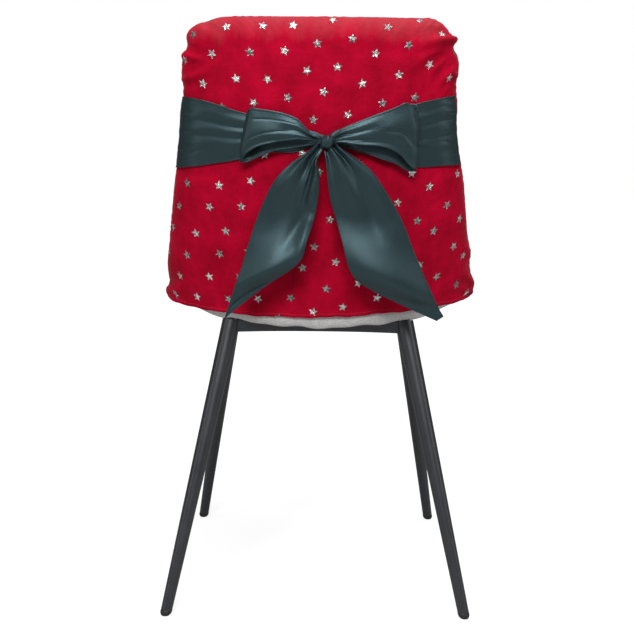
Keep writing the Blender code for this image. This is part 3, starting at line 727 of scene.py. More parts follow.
def panel_points(s, z, side, creases, seed):
    """A panel of the cover with its creases, puckers, hem and seam."""
    points, out, rest = back_surface(s, z, side, COVER_GROW)
    x = points[..., 0]
    lift = crease_height(creases, x, z) + pucker_height(x, z, rest, seed)
    face = 1.0 - 0.7 * np.clip(rest, 0.0, 1.0) ** 4
    lift += face * (0.0007 * ripple(x, z, 0.120, seed + 3)
                    + 0.0004 * ripple(x, z, 0.045, seed + 9))
    lift += hem_height(z - z[0][None, :], x)
    seam = np.sqrt(np.maximum(0.0, 1.0 - rest ** 2)) * (BACK_HALF_THICKNESS + COVER_GROW)
    lift -= 0.0014 * np.exp(-(seam / 0.0022) ** 2)
    points = points + out * np.maximum(lift, 0.0004 - COVER_GROW + VELVET)[..., None]
    points[..., 1] += side * SEAM_GAP
    return points


def make_back_panel():
    s = np.sin(math.pi * (np.linspace(0.0, 1.0, BACK_COLUMNS + 1) - 0.5))
    hem_z = along([row.x for row in HEM], [row.z for row in HEM], s * HEM[-1].x)
    hem_z = hem_z + 0.0007 * np.sin(s * 21.0) + 0.0004 * np.sin(s * 57.0 + 1.0)
    z = climb(hem_z[None, :], BACK_HEM_ROWS, BACK_ROWS)
    points = panel_points(np.broadcast_to(s, z.shape), z, -1, BACK_CREASES, 4)
    panel = lay_cloth("velvet_back_panel", points, cloth_distances(points, TOP_Z), VELVET,
                      red_velvet)
    return panel, points


back_panel, back_points = make_back_panel()
print("back panel width, length, area", sheet_size(back_points))
declare(back_panel, "red_velvet", "cover_back_panel")

# %% [markdown]
# The front panel is plain: it stops just above the seat, so the cover can be pulled off
# without untying anything.

# %% The front panel
FRONT_PANEL_BOTTOM_Z = 0.4870
FRONT_COLUMNS, FRONT_HEM_ROWS, FRONT_ROWS = 150, 14, 90
FRONT_CREASES = (
    Crease(-0.190, 0.808, -0.130, 0.786, 0.0060, 0.0020, 0.6),
    Crease(0.190, 0.808, 0.136, 0.780, 0.0060, 0.0020, 0.6),
    Crease(-0.215, 0.520, -0.120, 0.560, 0.0100, 0.0014, 0.5),
    Crease(0.215, 0.520, 0.130, 0.566, 0.0100, 0.0014, 0.5),
    Crease(-0.195, 0.700, -0.090, 0.690, 0.0100, 0.0014, 0.5),
    Crease(0.195, 0.700, 0.100, 0.686, 0.0100, 0.0014, 0.5),
)


def make_front_panel():
    s = -np.sin(math.pi * (np.linspace(0.0, 1.0, FRONT_COLUMNS + 1) - 0.5))
    z = climb(np.full((1, len(s)), FRONT_PANEL_BOTTOM_Z), FRONT_HEM_ROWS, FRONT_ROWS)
    points = panel_points(np.broadcast_to(s, z.shape), z, 1, FRONT_CREASES, 7)
    return lay_cloth("velvet_front_panel", points, cloth_distances(points, TOP_Z), VELVET,
                     red_velvet), points


front_panel, front_points = make_front_panel()
print("front panel width, length, area", sheet_size(front_points))
declare(front_panel, "red_velvet", "cover_front_panel")

# %% [markdown]
# ## Stitches along the hems
#
# A stitch is repeated hundreds of times along a path, so Geometry Nodes lay it: the path is
# cut into even steps, and each step gets one short bead of thread turned along the path.


# %% The stitch tree
def path_tree(name, sizes, result):
    """A tree that takes a path, some sizes and a finish, with its input node."""
    tree = bpy.data.node_groups.new(name, "GeometryNodeTree")
    face = tree.interface
    face.new_socket("Path", in_out="INPUT", socket_type="NodeSocketGeometry")
    for label, size in sizes:
        face.new_socket(label, in_out="INPUT", socket_type="NodeSocketFloat").default_value = size
    face.new_socket("Finish", in_out="INPUT", socket_type="NodeSocketMaterial")
    face.new_socket(result, in_out="OUTPUT", socket_type="NodeSocketGeometry")
    return tree, tree.nodes.new("NodeGroupInput")


def paint_result(tree, given, made):
    """Ends a tree: makes its copies real, gives them the finish and sends them out."""
    add, link = tree.nodes.new, tree.links.new
    real, paint = add("GeometryNodeRealizeInstances"), add("GeometryNodeSetMaterial")
    link(made, real.inputs[0])
    link(real.outputs[0], paint.inputs["Geometry"])
    link(given.outputs["Finish"], paint.inputs["Material"])
    link(paint.outputs[0], add("NodeGroupOutput").inputs[0])


def stitch_tree():
    sizes = (("Step", 0.0031), ("Stitch length", 0.0024), ("Thread", 0.0007))
    tree, given = path_tree("row_of_stitches", sizes, "Stitches")
    add, link = tree.nodes.new, tree.links.new
    cut = add("GeometryNodeResampleCurve")
    cut.mode = "LENGTH"
    link(given.outputs["Path"], cut.inputs["Curve"])
    link(given.outputs["Step"], cut.inputs["Length"])
    bead = add("GeometryNodeMeshUVSphere")
    bead.inputs["Segments"].default_value = 6
    bead.inputs["Rings"].default_value = 4
    bead.inputs["Radius"].default_value = 0.5
    size = add("ShaderNodeCombineXYZ")
    link(given.outputs["Thread"], size.inputs["X"])
    link(given.outputs["Thread"], size.inputs["Y"])
    link(given.outputs["Stitch length"], size.inputs["Z"])
    turn = add("FunctionNodeAlignRotationToVector")
    turn.axis = "Z"
    link(add("GeometryNodeInputTangent").outputs[0], turn.inputs["Vector"])
    lay = add("GeometryNodeInstanceOnPoints")
    link(cut.outputs[0], lay.inputs["Points"])
    link(bead.outputs["Mesh"], lay.inputs["Instance"])
    link(turn.outputs[0], lay.inputs["Rotation"])
    link(size.outputs[0], lay.inputs["Scale"])
    paint_result(tree, given, lay.outputs[0])
    return tree


def path_object(name, line):
    """A curve of straight steps through the points of a line."""
    curve = bpy.data.curves.new(name, "CURVE")
    curve.dimensions = "3D"
    spline = curve.splines.new("POLY")
    spline.points.add(len(line) - 1)
    spline.points.foreach_set("co", np.column_stack([line, np.ones(len(line))]).ravel())
    path = bpy.data.objects.new(name, curve)
    bpy.context.scene.collection.objects.link(path)
    return path


def run_nodes(source, tree, values, name):
    """Runs a node tree on an object, and keeps the result as a plain mesh."""
    modifier = source.modifiers.new("nodes", "NODES")
    modifier.node_group = tree
    sockets = {item.name: item.identifier for item in tree.interface.items_tree
               if item.item_type == "SOCKET" and item.in_out == "INPUT"}
    for key, value in values.items():
        modifier[sockets[key]] = value
    evaluated = source.evaluated_get(bpy.context.evaluated_depsgraph_get())
    mesh = bpy.data.meshes.new_from_object(evaluated)
    mesh.name = name
    made = bpy.data.objects.new(name, mesh)
    bpy.context.scene.collection.objects.link(made)
    bpy.data.objects.remove(source)
    mesh.shade_smooth()
    return made


STITCHES = stitch_tree()


def sew_hem(name, points, hem_rows, out):
    """A row of stitches along a panel's stitch line, a little proud of its groove."""
    line = points[round(HEM_STITCH / HEM_BAND * hem_rows)].copy()
    line[:, 1] += out
    stitches = run_nodes(path_object("hem_path", line[3:-3]), STITCHES,
                         {"Finish": red_thread}, name)
    declare(stitches, "red_velvet")


sew_hem("hem_stitches_back", back_points, BACK_HEM_ROWS, -0.0001)
sew_hem("hem_stitches_front", front_points, FRONT_HEM_ROWS, 0.0001)

# %% [markdown]
# ## The sash
#
# The sash is one long satin ribbon in two halves. Each half is sewn into a side seam, lies
# flat across the cover, and is gathered towards the knot. Long soft folds are what make
# satin read as satin, so each piece has its own table of folds: where a fold starts and
# ends along the ribbon, where it lies across it, how wide it is and how high.

# %% Folds of a ribbon
SATIN = 0.0010
FOLD_GAIN = 1.25               # every fold is this many times as high as its row says
SWELL_GAIN = 1.6               # and every swelling this many times

Fold = namedtuple("Fold", "start end across0 across1 width0 width1 height0 height1")
Swell = namedtuple("Swell", "run across length width slant height")


def fold_height(folds, across, run):
    """How high the folds lift the ribbon; across and run go from 0 to 1."""
    total = np.zeros(np.broadcast(across, run).shape)
    for fold in folds:
        t = np.clip((run - fold.start) / (fold.end - fold.start), 0.0, 1.0)
        middle = fold.across0 + (fold.across1 - fold.across0) * t
        width = fold.width0 + (fold.width1 - fold.width0) * t
        height = fold.height0 + (fold.height1 - fold.height0) * t
        fade = ease((run - fold.start) / 0.07 + 0.5) * ease((fold.end - run) / 0.12 + 0.5)
        total += FOLD_GAIN * height * fade * np.exp(-((across - middle) / width) ** 2)
    return total


def swell_height(swells, across, run):
    """Soft swellings across the ribbon's run, which catch the light on their upper side."""
    total = np.zeros(np.broadcast(across, run).shape)
    for swell in swells:
        ahead = (run - swell.run + swell.slant * (across - 0.5)) / swell.length
        aside = (across - swell.across) / swell.width
        total += SWELL_GAIN * swell.height * np.exp(-ahead ** 2 - aside ** 2)
    return total


def selvedge(across, width):
    """A narrow turned edge along both sides of the ribbon."""
    from_edge = np.minimum(across, 1.0 - across) * width
    return 0.0004 * np.exp(-((from_edge - 0.0012) / 0.0009) ** 2)


# %% [markdown]
# ### The straps
#
# A strap lies on the cover, so it is placed on the padded surface like the cover itself,
# only further out. Its outer end is gathered into the seam, which pinches short pleats, and
# two long creases carry the pull towards the knot.

# %% The straps
STRAP_GROW = 0.0056
STRAP_WIDTH = 0.09
STRAP_CROWN = 0.0016           # how far the middle of a strap stands above its edges
STRAP_FOLD_SHARE = 0.55        # a strap is pulled flat, so its folds are lower

StrapSection = namedtuple("StrapSection", "top_x top_z bottom_x bottom_z")
STRAP_LEFT = (
    StrapSection(-0.1950, 0.7375, -0.2060, 0.6385),
    StrapSection(-0.1705, 0.7335, -0.1720, 0.6410),
    StrapSection(-0.1510, 0.7288, -0.1520, 0.6442),
    StrapSection(-0.1138, 0.7172, -0.1145, 0.6504),
    StrapSection(-0.0700, 0.7060, -0.0700, 0.6610),
    StrapSection(-0.0350, 0.6945, -0.0350, 0.6615),
    StrapSection(-0.0120, 0.6915, -0.0150, 0.6680),
    StrapSection(0.0060, 0.6850, 0.0060, 0.6680),
)
STRAP_RIGHT = (
    StrapSection(0.1900, 0.7425, 0.2035, 0.6470),
    StrapSection(0.1540, 0.7348, 0.1660, 0.6444),
    StrapSection(0.1320, 0.7292, 0.1360, 0.6431),
    StrapSection(0.1000, 0.7165, 0.1000, 0.6500),
    StrapSection(0.0650, 0.7020, 0.0650, 0.6600),
    StrapSection(0.0250, 0.6935, 0.0260, 0.6700),
    StrapSection(0.0140, 0.6870, 0.0140, 0.6690),
)
# across is 0 at the strap's lower edge and 1 at its upper edge
STRAP_FOLDS_LEFT = (
    Fold(0.00, 0.95, 0.56, 0.56, 0.045, 0.120, 0.0012, 0.0034),
    Fold(0.10, 0.95, 0.33, 0.30, 0.060, 0.110, 0.0010, 0.0030),
    Fold(0.04, 0.80, 0.47, 0.44, 0.035, 0.080, -0.0014, -0.0014),
    Fold(0.15, 0.95, 0.82, 0.80, 0.070, 0.110, 0.0008, 0.0026),
    Fold(0.08, 0.50, 0.68, 0.66, 0.030, 0.060, -0.0008, -0.0012),
)
STRAP_FOLDS_RIGHT = (
    Fold(0.02, 0.95, 0.78, 0.72, 0.050, 0.120, 0.0016, 0.0030),
    Fold(0.02, 0.95, 0.67, 0.60, 0.035, 0.090, -0.0016, -0.0014),
    Fold(0.06, 0.95, 0.30, 0.32, 0.060, 0.130, 0.0010, 0.0030),
    Fold(0.04, 0.60, 0.44, 0.44, 0.030, 0.060, -0.0010, -0.0010),
)


def gather_height(across, run, seed):
    """Short narrow pleats where a strap is gathered into the side seam."""
    lines = 8.5 * across + 0.35 * np.sin(5.0 * across + seed) + 0.20 * np.sin(30.0 * run + seed)
    reach = 0.15 + 0.08 * np.sin(14.0 * across + 2.0 * seed)
    pleats = np.abs(np.sin(math.pi * lines)) ** 0.6 - 0.6
    sewn = 0.2 + 0.8 * ease(run / 0.04)
    return 0.0019 * sewn * pleats * np.clip(1.0 - run / reach, 0.0, 1.0) ** 1.4


def strap_points(sections, folds, columns, rows, outward):
    """A strap's grid; its columns run from the side seam to the knot."""
    run = np.linspace(0.0, 1.0, columns + 1)[None, :] ** 1.6
    across = np.linspace(0.0, 1.0, rows + 1)[:, None]
    top_x, top_z, bottom_x, bottom_z = read_rows(sections, even_knots(sections), run)
    x = bottom_x + (top_x - bottom_x) * across
    z = bottom_z + (top_z - bottom_z) * across
    s = np.clip(x / (back_levels(z)[1] + STRAP_GROW), -1.0, 1.0)
    points, out, _ = back_surface(s, z, -1, STRAP_GROW)
    lift = STRAP_FOLD_SHARE * fold_height(folds, across, run) + selvedge(across, STRAP_WIDTH)
    lift += (gather_height(across, run, outward)
             + 0.0004 * ripple(x, 3.0 * z, 0.060, 51 + outward)
             + STRAP_CROWN * np.sin(math.pi * across))
    points = points + out * np.maximum(lift, -0.0004)[..., None]
    return points[:, ::-1] if outward > 0 else points


def ribbon_cloth(points, along_rows):
    """Cloth distances with the first coordinate across the ribbon and the second along."""
    cloth = cloth_distances(points)
    return cloth if along_rows else cloth[..., ::-1]


def lay_ribbon(name, points, along_rows, node):
    """Lays one piece of the sash, and says how large it came out."""
    piece = lay_cloth(name, points, ribbon_cloth(points, along_rows), SATIN, green_satin)
    print(name, "width, length, area", sheet_size(points))
    declare(piece, "green_satin", node)
    return piece


def make_strap(name, sections, folds, outward, node):
    points = strap_points(sections, folds, 150, 110, outward)
    return lay_ribbon(name, points, False, node)


strap_left = make_strap("satin_strap_left", STRAP_LEFT, STRAP_FOLDS_LEFT, -1, "strap_left")
strap_right = make_strap("satin_strap_right", STRAP_RIGHT, STRAP_FOLDS_RIGHT, 1, "strap_right")

# %% [markdown]
# ### The loops
#
# A loop is a ribbon that leaves the knot, turns over at its outer fold and comes back
# behind itself. Its two long edges are charted section by section, the surface is ruled
# between them, and folds that radiate from the knot are added along its normals.

# %% The loops
EdgePair = namedtuple("EdgePair", "x0 y0 z0 x1 y1 z1")
LOOP_LEFT = (
    EdgePair(0.0050, -0.2250, 0.6820, 0.0050, -0.2250, 0.6730),
    EdgePair(-0.0010, -0.2268, 0.6850, -0.0010, -0.2268, 0.6735),
    EdgePair(-0.0115, -0.2280, 0.6880, -0.0120, -0.2280, 0.6790),
    EdgePair(-0.0212, -0.2292, 0.6976, -0.0225, -0.2290, 0.6797),
    EdgePair(-0.0309, -0.2296, 0.7070, -0.0340, -0.2292, 0.6785),
    EdgePair(-0.0464, -0.2292, 0.7134, -0.0500, -0.2285, 0.6765),
    EdgePair(-0.0637, -0.2282, 0.7171, -0.0665, -0.2272, 0.6737),
    EdgePair(-0.0810, -0.2262, 0.7195, -0.0840, -0.2250, 0.6690),
    EdgePair(-0.0925, -0.2238, 0.7208, -0.0990, -0.2225, 0.6605),
    EdgePair(-0.0965, -0.2200, 0.7190, -0.1060, -0.2190, 0.6530),
    EdgePair(-0.0990, -0.2158, 0.7160, -0.1095, -0.2150, 0.6500),
    EdgePair(-0.0985, -0.2118, 0.7130, -0.1085, -0.2112, 0.6475),
    EdgePair(-0.0930, -0.2102, 0.7090, -0.1000, -0.2098, 0.6475),
    EdgePair(-0.0790, -0.2125, 0.7030, -0.0815, -0.2122, 0.6560),
    EdgePair(-0.0550, -0.2148, 0.6970, -0.0600, -0.2143, 0.6640),
    EdgePair(-0.0250, -0.2166, 0.6880, -0.0300, -0.2162, 0.6690),
    EdgePair(0.0050, -0.2190, 0.6815, 0.0050, -0.2190, 0.6750),
)
LOOP_RIGHT = (
    EdgePair(0.0145, -0.2250, 0.6820, 0.0145, -0.2250, 0.6740),
    EdgePair(0.0205, -0.2268, 0.6870, 0.0205, -0.2268, 0.6745),
    EdgePair(0.0300, -0.2280, 0.6950, 0.0320, -0.2280, 0.6750),
    EdgePair(0.0443, -0.2292, 0.7011, 0.0460, -0.2290, 0.6728),
    EdgePair(0.0634, -0.2292, 0.7089, 0.0640, -0.2288, 0.6720),
    EdgePair(0.0825, -0.2278, 0.7163, 0.0810, -0.2270, 0.6708),
    EdgePair(0.1016, -0.2250, 0.7235, 0.0970, -0.2245, 0.6665),
    EdgePair(0.1160, -0.2212, 0.7300, 0.1100, -0.2215, 0.6590),
    EdgePair(0.1235, -0.2175, 0.7265, 0.1190, -0.2185, 0.6490),
    EdgePair(0.1290, -0.2135, 0.7200, 0.1270, -0.2145, 0.6420),
    EdgePair(0.1325, -0.2095, 0.7225, 0.1330, -0.2095, 0.6400),
    EdgePair(0.1315, -0.2060, 0.7280, 0.1310, -0.2050, 0.6385),
    EdgePair(0.1220, -0.2062, 0.7290, 0.1220, -0.2050, 0.6375),
    EdgePair(0.1050, -0.2092, 0.7160, 0.1040, -0.2078, 0.6475),
    EdgePair(0.0850, -0.2120, 0.6970, 0.0841, -0.2110, 0.6537),
    EdgePair(0.0600, -0.2145, 0.6920, 0.0590, -0.2140, 0.6635),
    EdgePair(0.0350, -0.2165, 0.6880, 0.0342, -0.2162, 0.6744),
    EdgePair(0.0145, -0.2190, 0.6820, 0.0145, -0.2190, 0.6760),
)
# across is 0 at the loop's upper edge and 1 at its lower edge
LOOP_FOLDS_LEFT = (
    Fold(0.02, 0.28, 0.34, 0.30, 0.10, 0.14, 0.0017, 0.0006),
    Fold(0.02, 0.24, 0.58, 0.56, 0.06, 0.06, -0.0015, -0.0005),
    Fold(0.02, 0.34, 0.80, 0.76, 0.09, 0.12, 0.0014, 0.0008),
    Fold(0.22, 0.46, 0.62, 0.70, 0.030, 0.030, -0.0006, -0.0005),
    Fold(0.18, 0.44, 0.30, 0.26, 0.030, 0.030, -0.0004, -0.0004),
    Fold(0.30, 0.54, 0.92, 0.90, 0.05, 0.05, -0.0010, -0.0010),
    Fold(0.56, 0.98, 0.30, 0.35, 0.12, 0.14, 0.0010, 0.0016),
    Fold(0.56, 0.98, 0.70, 0.65, 0.12, 0.14, -0.0010, 0.0010),
)
LOOP_FOLDS_RIGHT = (
    Fold(0.02, 0.26, 0.28, 0.22, 0.11, 0.14, 0.0016, 0.0006),
    Fold(0.02, 0.22, 0.50, 0.44, 0.07, 0.07, -0.0015, -0.0005),
    Fold(0.00, 0.12, 0.70, 0.64, 0.16, 0.14, 0.0040, 0.0010),
    Fold(0.10, 0.44, 0.80, 0.74, 0.030, 0.035, -0.0008, -0.0006),
    Fold(0.02, 0.16, 0.92, 0.92, 0.10, 0.08, 0.0020, 0.0008),
    Fold(0.16, 0.46, 0.86, 0.86, 0.07, 0.07, -0.0010, -0.0010),
    Fold(0.30, 0.56, 0.55, 0.62, 0.05, 0.05, -0.0006, -0.0012),
    Fold(0.56, 0.98, 0.35, 0.35, 0.12, 0.14, 0.0010, 0.0016),
    Fold(0.56, 0.98, 0.70, 0.65, 0.12, 0.14, -0.0010, 0.0010),
)

# broad swellings: the front layer's soft middle, and the bulge of the outer fold
LOOP_SWELLS_LEFT = (
    Swell(0.34, 0.62, 0.120, 0.30, 0.00, 0.0005),
    Swell(0.59, 0.52, 0.050, 0.26, 0.00, 0.0030),
)
LOOP_SWELLS_RIGHT = (
    Swell(0.30, 0.50, 0.110, 0.30, 0.00, 0.0011),
    Swell(0.46, 0.28, 0.050, 0.22, 0.00, 0.0018),
)


def ribbon_points(sections, folds, swells, columns, rows, belly, seed, outward):
    """A ribbon's grid between its two charted edges: columns across, rows along."""
    run = np.linspace(0.0, 1.0, rows + 1)[:, None]
    across = np.linspace(0.0, 1.0, columns + 1)[None, :]
    x0, y0, z0, x1, y1, z1 = read_rows(sections, even_knots(sections), run)
    first, second = np.stack([x0, y0, z0], -1), np.stack([x1, y1, z1], -1)
    points = first + (second - first) * across[..., None]
    width = np.linalg.norm(second - first, axis=2)
    lift = fold_height(folds, across, run) + selvedge(across, width)
    lift = lift + swell_height(swells, across, run)
    lift = lift + belly * width * np.sin(math.pi * across)
    lift = lift + 0.0004 * ripple(across * 0.09, run * 0.2, 0.05, seed)
    pinch = ease(run / 0.05)
    normals = surface_normals(points) * outward
    return points + normals * (lift * (0.25 + 0.75 * pinch))[..., None]


def make_loop(name, sections, folds, swells, seed, outward, node):
    points = ribbon_points(sections, folds, swells, 56, 220, 0.030, seed, outward)
    if outward < 0.0:
        points = points[:, ::-1]
    return lay_ribbon(name, points, True, node)


loop_left = make_loop("satin_loop_left", LOOP_LEFT, LOOP_FOLDS_LEFT,
                      LOOP_SWELLS_LEFT, 21, -1.0, "loop_left")
loop_right = make_loop("satin_loop_right", LOOP_RIGHT, LOOP_FOLDS_RIGHT,
                       LOOP_SWELLS_RIGHT, 22, 1.0, "loop_right")

# %% [markdown]
# ### The knot
#
# The knot is a short length of ribbon wrapped once round the gathered middle. It is made
# as a closed, boxy roll, with pleats that run round it and pinch at both ends.

# %% The knot
KNOT_CENTRE = np.array((0.0098, -0.2230, 0.6760))
KNOT_SIZE = np.array((0.0092, 0.0122, 0.0092))
KNOT_WELD = 0.00002


def boxy(value, power):
    return np.copysign(np.abs(value) ** power, value)


def make_knot():
    turn = np.linspace(0.0, 2.0 * math.pi, 97)[:, None]
    across = np.linspace(-1.0, 1.0, 65)[None, :]
    reach = np.maximum(0.0, 1.0 - np.abs(across) ** 3.2) ** 0.42
    pleats = 0.10 * np.sin(4.2 * across + 1.9 * np.sin(turn) + 0.9)
    pleats = pleats + 0.022 * np.sin(10.0 * across - 2.5 * np.cos(turn))
    reach = reach * (1.0 + pleats * (1.0 - across ** 2))
    slant = 0.34 * np.sin(turn)
    points = np.stack([
        KNOT_CENTRE[0] + KNOT_SIZE[0] * (across + slant * (1.0 - across ** 2)) + 0.0 * turn,
        KNOT_CENTRE[1] + KNOT_SIZE[1] * reach * boxy(np.cos(turn), 0.66),
        KNOT_CENTRE[2] + KNOT_SIZE[2] * reach * boxy(np.sin(turn), 0.72),
    ], -1)
    knot = lay_cloth("satin_knot", points, ribbon_cloth(points, True), 0.0, green_satin)
    bm = bmesh.new()
    bm.from_mesh(knot.data)
    bmesh.ops.remove_doubles(bm, verts=bm.verts, dist=KNOT_WELD)
    bmesh.ops.dissolve_degenerate(bm, edges=bm.edges, dist=0.00001)
    bmesh.ops.recalc_face_normals(bm, faces=bm.faces)
    bm.to_mesh(knot.data)
    bm.free()
    return knot


knot = make_knot()
declare(knot, "green_satin", "knot")

# %% [markdown]
# ### The tails
#
# The two tails hang from under the knot. They are nearly full width, with a few broad
# folds that start narrow at the knot and open out, and each is cut slantwise at its end.

# %% The tails
TAIL_LEFT = (
    EdgePair(0.0010, -0.2200, 0.6790, 0.0105, -0.2200, 0.6770),
    EdgePair(-0.0100, -0.2240, 0.6690, 0.0030, -0.2260, 0.6640),
    EdgePair(-0.0235, -0.2245, 0.6580, -0.0025, -0.2275, 0.6520),
    EdgePair(-0.0400, -0.2235, 0.6470, -0.0005, -0.2270, 0.6350),
    EdgePair(-0.0620, -0.2250, 0.6230, -0.0005, -0.2285, 0.6090),
    EdgePair(-0.0815, -0.2225, 0.5835, -0.0055, -0.2270, 0.5775),
    EdgePair(-0.0960, -0.2175, 0.5415, -0.0150, -0.2235, 0.5440),
    EdgePair(-0.1075, -0.2125, 0.5020, -0.0275, -0.2190, 0.5110),
    EdgePair(-0.1195, -0.2070, 0.4660, -0.0790, -0.2120, 0.4730),
    EdgePair(-0.1315, -0.2005, 0.4300, -0.1280, -0.2010, 0.4330),
)
TAIL_RIGHT = (
    EdgePair(0.0080, -0.2190, 0.6770, 0.0180, -0.2190, 0.6790),
    EdgePair(0.0060, -0.2250, 0.6650, 0.0300, -0.2230, 0.6680),
    EdgePair(0.0080, -0.2275, 0.6540, 0.0480, -0.2240, 0.6560),
    EdgePair(0.0105, -0.2285, 0.6290, 0.0705, -0.2235, 0.6385),
    EdgePair(0.0150, -0.2275, 0.5995, 0.0955, -0.2220, 0.6035),
    EdgePair(0.0235, -0.2245, 0.5705, 0.1155, -0.2185, 0.5685),
    EdgePair(0.0310, -0.2205, 0.5430, 0.1275, -0.2140, 0.5390),
    EdgePair(0.0440, -0.2150, 0.4990, 0.1425, -0.2085, 0.5035),
    EdgePair(0.0690, -0.2100, 0.4760, 0.1580, -0.2020, 0.4705),
    EdgePair(0.1200, -0.2030, 0.4500, 0.1690, -0.1965, 0.4480),
    EdgePair(0.1670, -0.1960, 0.4285, 0.1770, -0.1950, 0.4350),
)
# across is 0 at a tail's left edge and 1 at its right edge, seen from behind
TAIL_FOLDS_LEFT = (
    Fold(0.00, 0.45, 0.30, 0.22, 0.12, 0.18, 0.0040, 0.0012),
    Fold(0.00, 0.40, 0.60, 0.48, 0.09, 0.12, -0.0034, -0.0010),
    Fold(0.10, 0.38, 0.92, 0.86, 0.08, 0.11, 0.0056, 0.0040),
    Fold(0.14, 0.36, 0.74, 0.72, 0.05, 0.06, -0.0028, -0.0024),
    Fold(0.40, 0.66, 0.90, 0.95, 0.10, 0.08, 0.0032, 0.0020),
    Fold(0.34, 0.60, 0.84, 0.62, 0.10, 0.12, -0.0034, -0.0010),
)
TAIL_FOLDS_RIGHT = (
    Fold(0.00, 0.42, 0.36, 0.34, 0.10, 0.16, 0.0040, 0.0010),
    Fold(0.00, 0.48, 0.60, 0.55, 0.08, 0.12, -0.0034, -0.0012),
    Fold(0.00, 0.50, 0.84, 0.80, 0.10, 0.16, 0.0034, 0.0012),
    Fold(0.00, 0.30, 0.14, 0.10, 0.06, 0.10, -0.0024, -0.0008),
)

# broad swellings, and the hollows (below 0) where a tail dips between its edges
TAIL_SWELLS_LEFT = (
    Swell(0.40, 0.40, 0.130, 0.70, 0.00, -0.0060),
    Swell(0.68, 0.45, 0.110, 0.80, 0.15, 0.0076),
    Swell(0.87, 0.50, 0.030, 0.80, 0.20, -0.0012),
    Swell(0.95, 0.50, 0.035, 0.80, 0.00, 0.0014),
)
TAIL_SWELLS_RIGHT = (
    Swell(0.38, 0.45, 0.110, 0.70, 0.00, -0.0060),
    Swell(0.68, 0.50, 0.120, 0.85, -0.15, 0.0092),
    Swell(0.97, 0.50, 0.040, 0.80, 0.00, 0.0012),
)


def make_tail(name, sections, folds, swells, seed, node):
    points = ribbon_points(sections, folds, swells, 90, 170, 0.05, seed, -1.0)[::-1]
    return lay_ribbon(name, points, True, node)


tail_left = make_tail("satin_tail_left", TAIL_LEFT, TAIL_FOLDS_LEFT,
                      TAIL_SWELLS_LEFT, 31, "tail_left")
tail_right = make_tail("satin_tail_right", TAIL_RIGHT, TAIL_FOLDS_RIGHT,
                       TAIL_SWELLS_RIGHT, 32, "tail_right")

# %% [markdown]
# ## The padding under the cover, and the seat
#
# The padded back is almost hidden, but it fills the cover and shows below its front edge.
# It follows the same surface with nothing added.


# %% The padded back
WELD = 0.00002
PAD_BOTTOM_Z = 0.4800
PAD_COLUMNS, PAD_ROWS = 80, 48


def join_grids(name, grids, finish):
    """One closed piece from several grids that share their edges."""
    parts = [lay_cloth(name, points, cloth_distances(points), 0.0, finish) for points in grids]
    bm = bmesh.new()
    for part in parts:
        bm.from_mesh(part.data)
    whole = parts[0]
    for part in parts[1:]:
        bpy.data.objects.remove(part)
    bmesh.ops.remove_doubles(bm, verts=bm.verts, dist=WELD)
    bm.to_mesh(whole.data)
    bm.free()
    whole.data.shade_smooth()
    return whole


def make_padded_back():
    s = np.sin(math.pi * (np.linspace(0.0, 1.0, PAD_COLUMNS + 1) - 0.5))
    share = np.sin(0.5 * math.pi * np.linspace(0.0, 1.0, PAD_ROWS + 1))[:, None]
    z = np.broadcast_to(PAD_BOTTOM_Z + (TOP_Z - PAD_BOTTOM_Z) * share, (len(share), len(s)))
    rear, _, _ = back_surface(np.broadcast_to(s, z.shape), z, -1, 0.0)
    front, _, _ = back_surface(np.broadcast_to(-s, z.shape), z, 1, 0.0)
    steps = np.linspace(0.0, 1.0, 5)[:, None, None]
    bottom = front[0][::-1][None] * (1.0 - steps) + rear[0][None] * steps
    bottom[..., 2] -= 0.004 * np.sin(math.pi * steps[..., 0])
    return join_grids("padded_back", [rear, front, bottom], grey_upholstery)


padded_back = make_padded_back()
declare(padded_back, "grey_upholstery", "backrest")

# %% [markdown]
# ### The seat
#
# The seat is a shallow foam pad in grey cloth. Its rear edge follows the curve of the back,
# and seen from behind, its cloth hangs a little below the cover in a wavy skirt. It is
# built as rings from its underside, round the edge, to its crown.

# %% The seat
SEAT_FRONT_Y = 0.2352
SEAT_FRONT_CORNER = 0.055
SEAT_CLEARANCE = 0.0012
SEAT_BOTTOM_Z = 0.4195
SEAT_EDGE_Z = 0.459
SEAT_PLAN_Z = 0.430            # the height where the seat follows the back's curve
SEAT_WELT_Z = 0.4600
SEAT_CROWN_Z = 0.4818

Ring = namedtuple("Ring", "inset z dip")
SEAT_RINGS = (
    Ring(0.120, 0.4195, 0.0), Ring(0.060, 0.4193, 0.0), Ring(0.024, 0.4190, 0.0),
    Ring(0.014, 0.4185, 0.6), Ring(0.006, 0.4205, 1.0), Ring(0.001, 0.4270, 0.6),
    Ring(0.000, 0.4340, 0.3), Ring(0.000, 0.4460, 0.0), Ring(0.0018, 0.4540, 0.0),
    Ring(0.0052, 0.4600, 0.0), Ring(0.014, 0.4685, 0.0), Ring(0.034, 0.4755, 0.0),
    Ring(0.075, 0.4795, 0.0), Ring(0.120, 0.4810, 0.0),
)
SEAT_COLUMNS = 288


